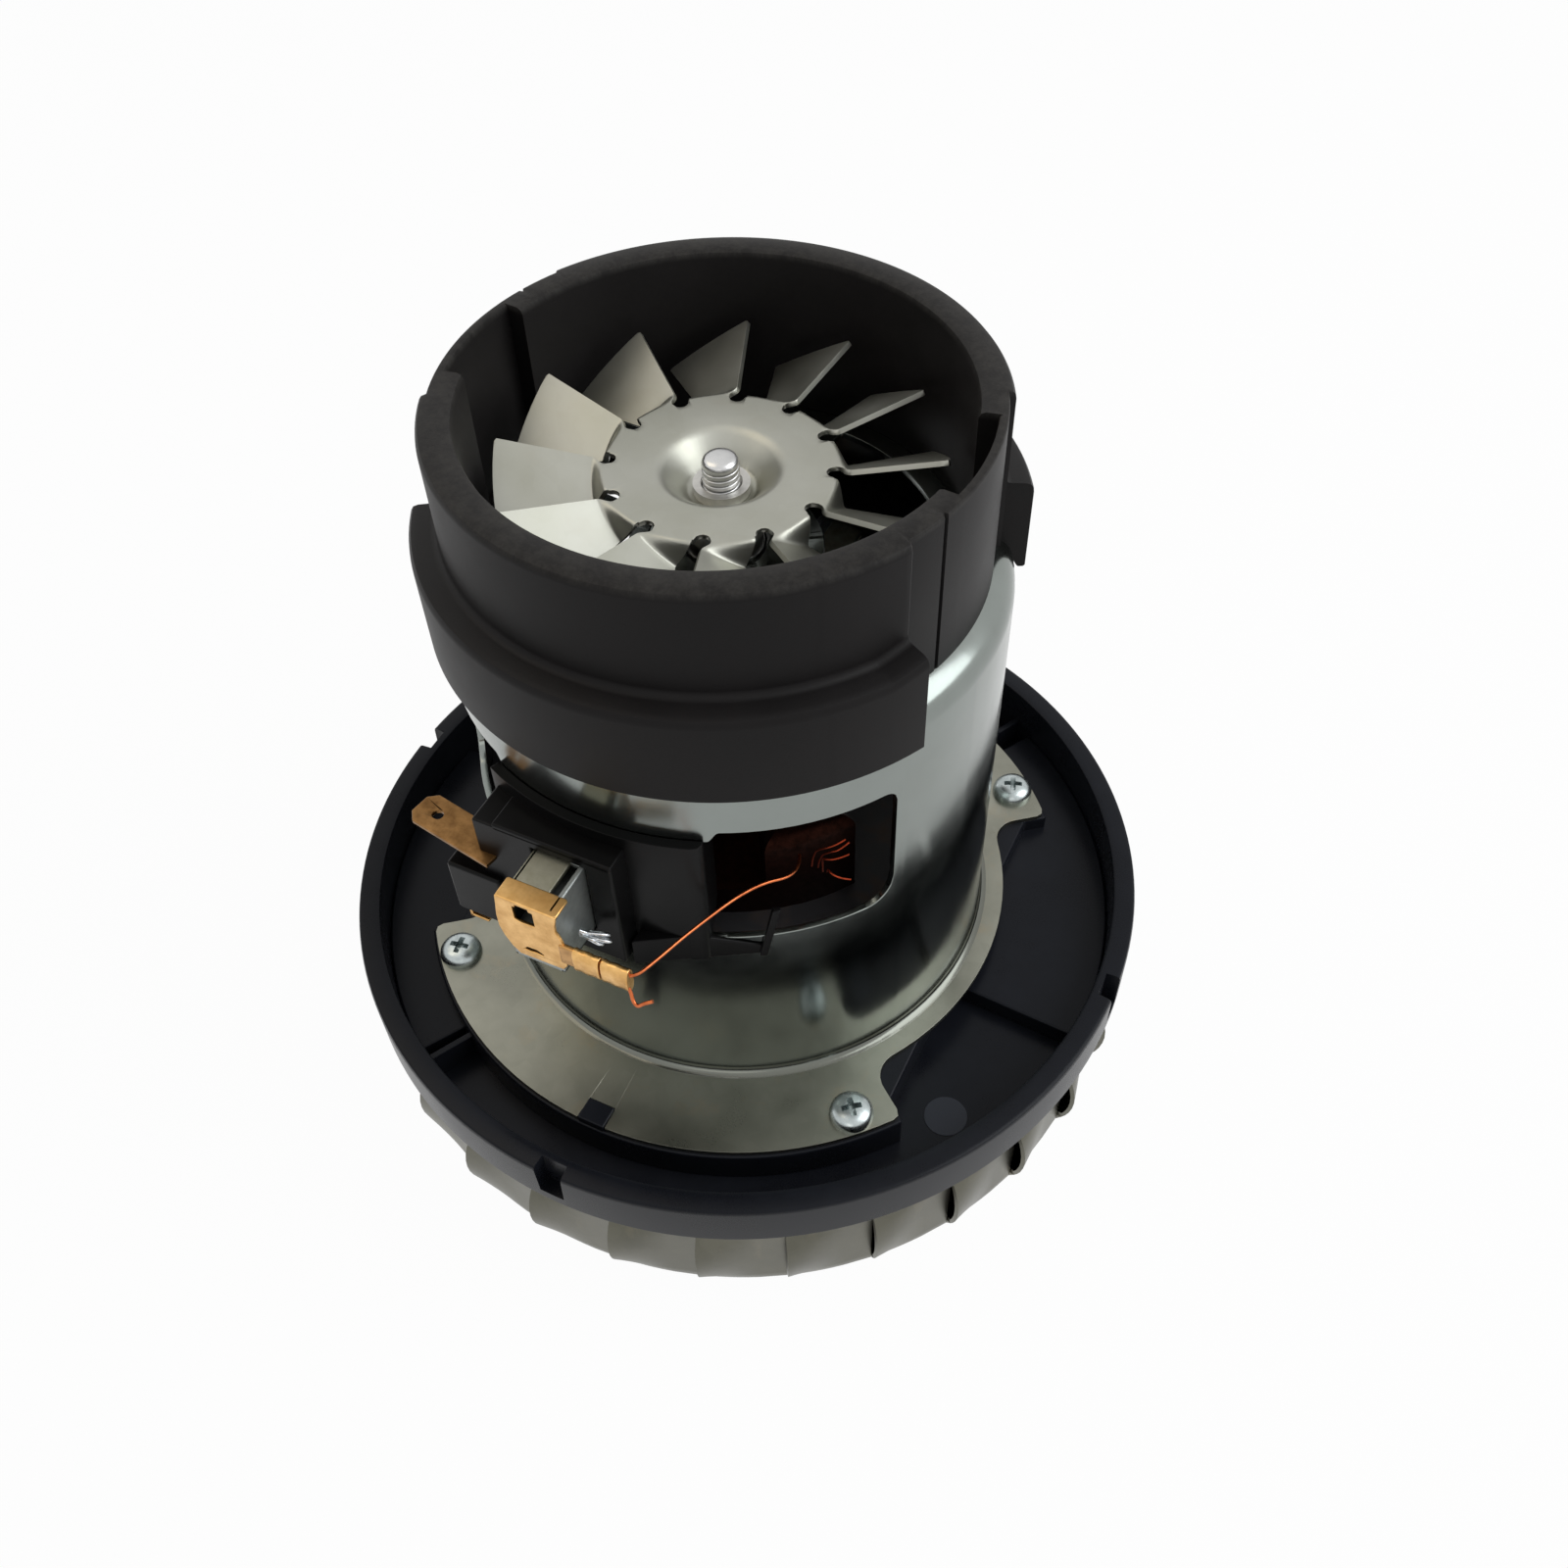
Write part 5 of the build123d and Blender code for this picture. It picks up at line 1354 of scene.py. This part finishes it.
# %% Push-on tab and strip end
tab_half_width, tab_tip_half, tab_length, tab_chamfer = 3.15, 1.7, 17.4, 1.5
tab_sheet, tab_turn = 0.8, -10.0
tab_hole_x, tab_hole_radius, tab_place = -13.3, 0.9, Vector((-15.2, -50.1, 86.5)) * MM
strip_left, strip_foot_right, strip_sheet, strip_out = -24.2, -20.6, 0.6, (48.9, 51.1)
strip_low, strip_top = 66.4, 76.0
tab_outline = [(0, -tab_half_width), (0, tab_half_width), (tab_chamfer - tab_length, tab_half_width),
               (-tab_length, tab_tip_half), (-tab_length, -tab_tip_half),
               (tab_chamfer - tab_length, -tab_half_width)]
tab_hole = circle((tab_hole_x, 0), tab_hole_radius, 20)
push_tab = upright_plate("push_tab", tab_outline, [tab_hole], 0, tab_sheet, tab_brass, 0.16)
lay_flat = Matrix.Rotation(math.radians(-90), 4, "X") @ Matrix.Translation((0, tab_sheet / 2 * MM, 0))
push_tab.data.transform(lay_flat)
push_tab.data.transform(Matrix.Translation(tab_place) @ Matrix.Rotation(math.radians(tab_turn), 4, "Z"))
leg_range, foot_range = (strip_left, strip_left + strip_sheet), (strip_left, strip_foot_right)
strip_leg = block("strip_leg", leg_range, strip_out, (strip_low, strip_top), brass, 0.1)
strip_foot = block("strip_foot", foot_range, strip_out, (strip_low, strip_low + strip_sheet), brass, 0.15)
fit_gear([push_tab], "brass_strip", "tab_terminal")
fit_gear([strip_leg, strip_foot], "brass_strip", "terminal_tail")

# %% [markdown]
# ## Wires
# The lead is bare of sleeving: enamelled copper from the crimp through the window to the field coil,
# with its cut end curled under the crimp. Four short ends of the winding stand out of the coil beside
# it. The shunt is a splayed end of tinned strands. Each wire is a smooth curve with a round section,
# turned into a mesh.

# %% Wires
lead_radius, curl_radius, winding_radius, shunt_radius = 0.27, 0.3, 0.15, 0.3


def wire(name, route, radius, material):
    """A round wire through points of X, distance out and height."""
    curve = bpy.data.curves.new(name, "CURVE")
    curve.dimensions = "3D"
    curve.bevel_depth = radius * MM
    curve.bevel_resolution = 3
    curve.use_fill_caps = True
    spline = curve.splines.new("NURBS")
    spline.points.add(len(route) - 1)
    for point, (x, out, height) in zip(spline.points, route):
        point.co = (x * MM, -out * MM, height * MM, 1)
    spline.order_u = 3
    spline.use_endpoint_u = True
    spline.resolution_u = 10
    made = curve_to_piece(name, curve, material)
    made.data.shade_smooth()
    return made


lead_route = [(11.0, 61.02, 84.4), (13.9, 60.95, 84.8), (15.6, 56.5, 84.9), (17.4, 49.6, 84.3),
              (22.3, 38.0, 84.7), (27.7, 32.2, 83.2), (25.4, 27.9, 82.0)]
curl_route = [(12.8, 60.9, 83.0), (13.6, 61.2, 81.9), (14.2, 61.9, 80.5), (15.2, 62.2, 80.1),
              (16.0, 62.0, 81.2), (17.4, 61.4, 81.9)]
lead_wires = [
    wire("copper_lead", lead_route, lead_radius, red_copper),
    wire("copper_curl", curl_route, curl_radius, red_copper),
]
fit_gear(lead_wires, "enamelled_copper", "field_lead")

# %% Ends of the winding and of the shunt
winding_strands = [
    [(28.6, 30.2, 83.6), (29.2, 30.8, 88.4), (31.8, 32.2, 92.0), (33.6, 31.8, 93.4), (34.6, 31.0, 94.3)],
    [(29.6, 30.0, 83.6), (30.2, 30.8, 87.6), (32.6, 32.0, 91.4), (34.0, 32.0, 92.4), (35.2, 31.0, 93.9)],
    [(30.6, 30.4, 83.6), (30.9, 31.4, 88.2), (32.0, 32.6, 89.9), (33.8, 32.4, 90.6), (35.4, 31.4, 91.6)],
    [(31.2, 30.2, 83.6), (31.8, 31.2, 85.8), (32.8, 32.0, 85.9), (34.4, 31.6, 85.2), (35.6, 31.0, 85.0)],
]
for index, route in enumerate(winding_strands):
    strand = wire(f"winding_strand_{index + 1}", route, winding_radius, bare_strands)
    fit_gear([strand], "enamelled_copper", "field_lead")
shunt_spreads = ((0, 0, 0), (0.9, 0.8, -0.6), (1.5, -0.5, 0.5), (0.4, 1.4, 0.9), (2.2, 0.3, 0.2))
for index, (dx, dy, dz) in enumerate(shunt_spreads):
    route = [(1.4, 52.6 + 0.2 * index, 78.9), (2.8, 52.9 + 0.4 * dy, 79.1 + dz),
             (4.2 + dx, 53.6 + dy, 80.5 + dz), (3.6 + dx, 55.0 + dy, 82.1 + dz),
             (1.7, 55.6, 83.1 - 0.3 * index)]
    strand = wire(f"shunt_strand_{index + 1}", route, shunt_radius, tin_braid)
    fit_gear([strand], "tinned_braid", "brush_shunt")

# %% [markdown]
# ## What the other solids are made of
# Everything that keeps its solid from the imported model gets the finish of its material.

# %% Finishes for the remaining solids
finish_of_slot = {
    "galvanised_sheet": can_zinc,
    "matte_black_moulding": cowl_black,
    "gloss_black_moulding": holder_black,
    "zinc_screw": bright_zinc,
    "ground_steel": ground_steel,
    "turned_steel": turned_steel,
    "grey_steel": grey_steel,
    "laminated_steel": core_sheets,
    # The windings take the nearly black copper, which is painted shade inside the can.
    "enamelled_copper": shaded_winding_copper,
    "bar_copper": bar_copper,
    "brass_strip": brass,
    "tinned_braid": tin_braid,
    "carbon": pressed_carbon,
    "pressed_aluminium": pressed_aluminium,
}
for part in frame["record"]["subparts"]:
    solid = nodes[part["node"]]
    solid.data.materials.clear()
    solid.data.materials.append(finish_of_slot[part["material_slot"]])
print(len(nodes), "solids have a finish")

# %% [markdown]
# ## Render settings
# Colours should show as they are written, so the view transform stays Standard.

# %% Render settings
bpy.context.scene.view_settings.view_transform = "Standard"
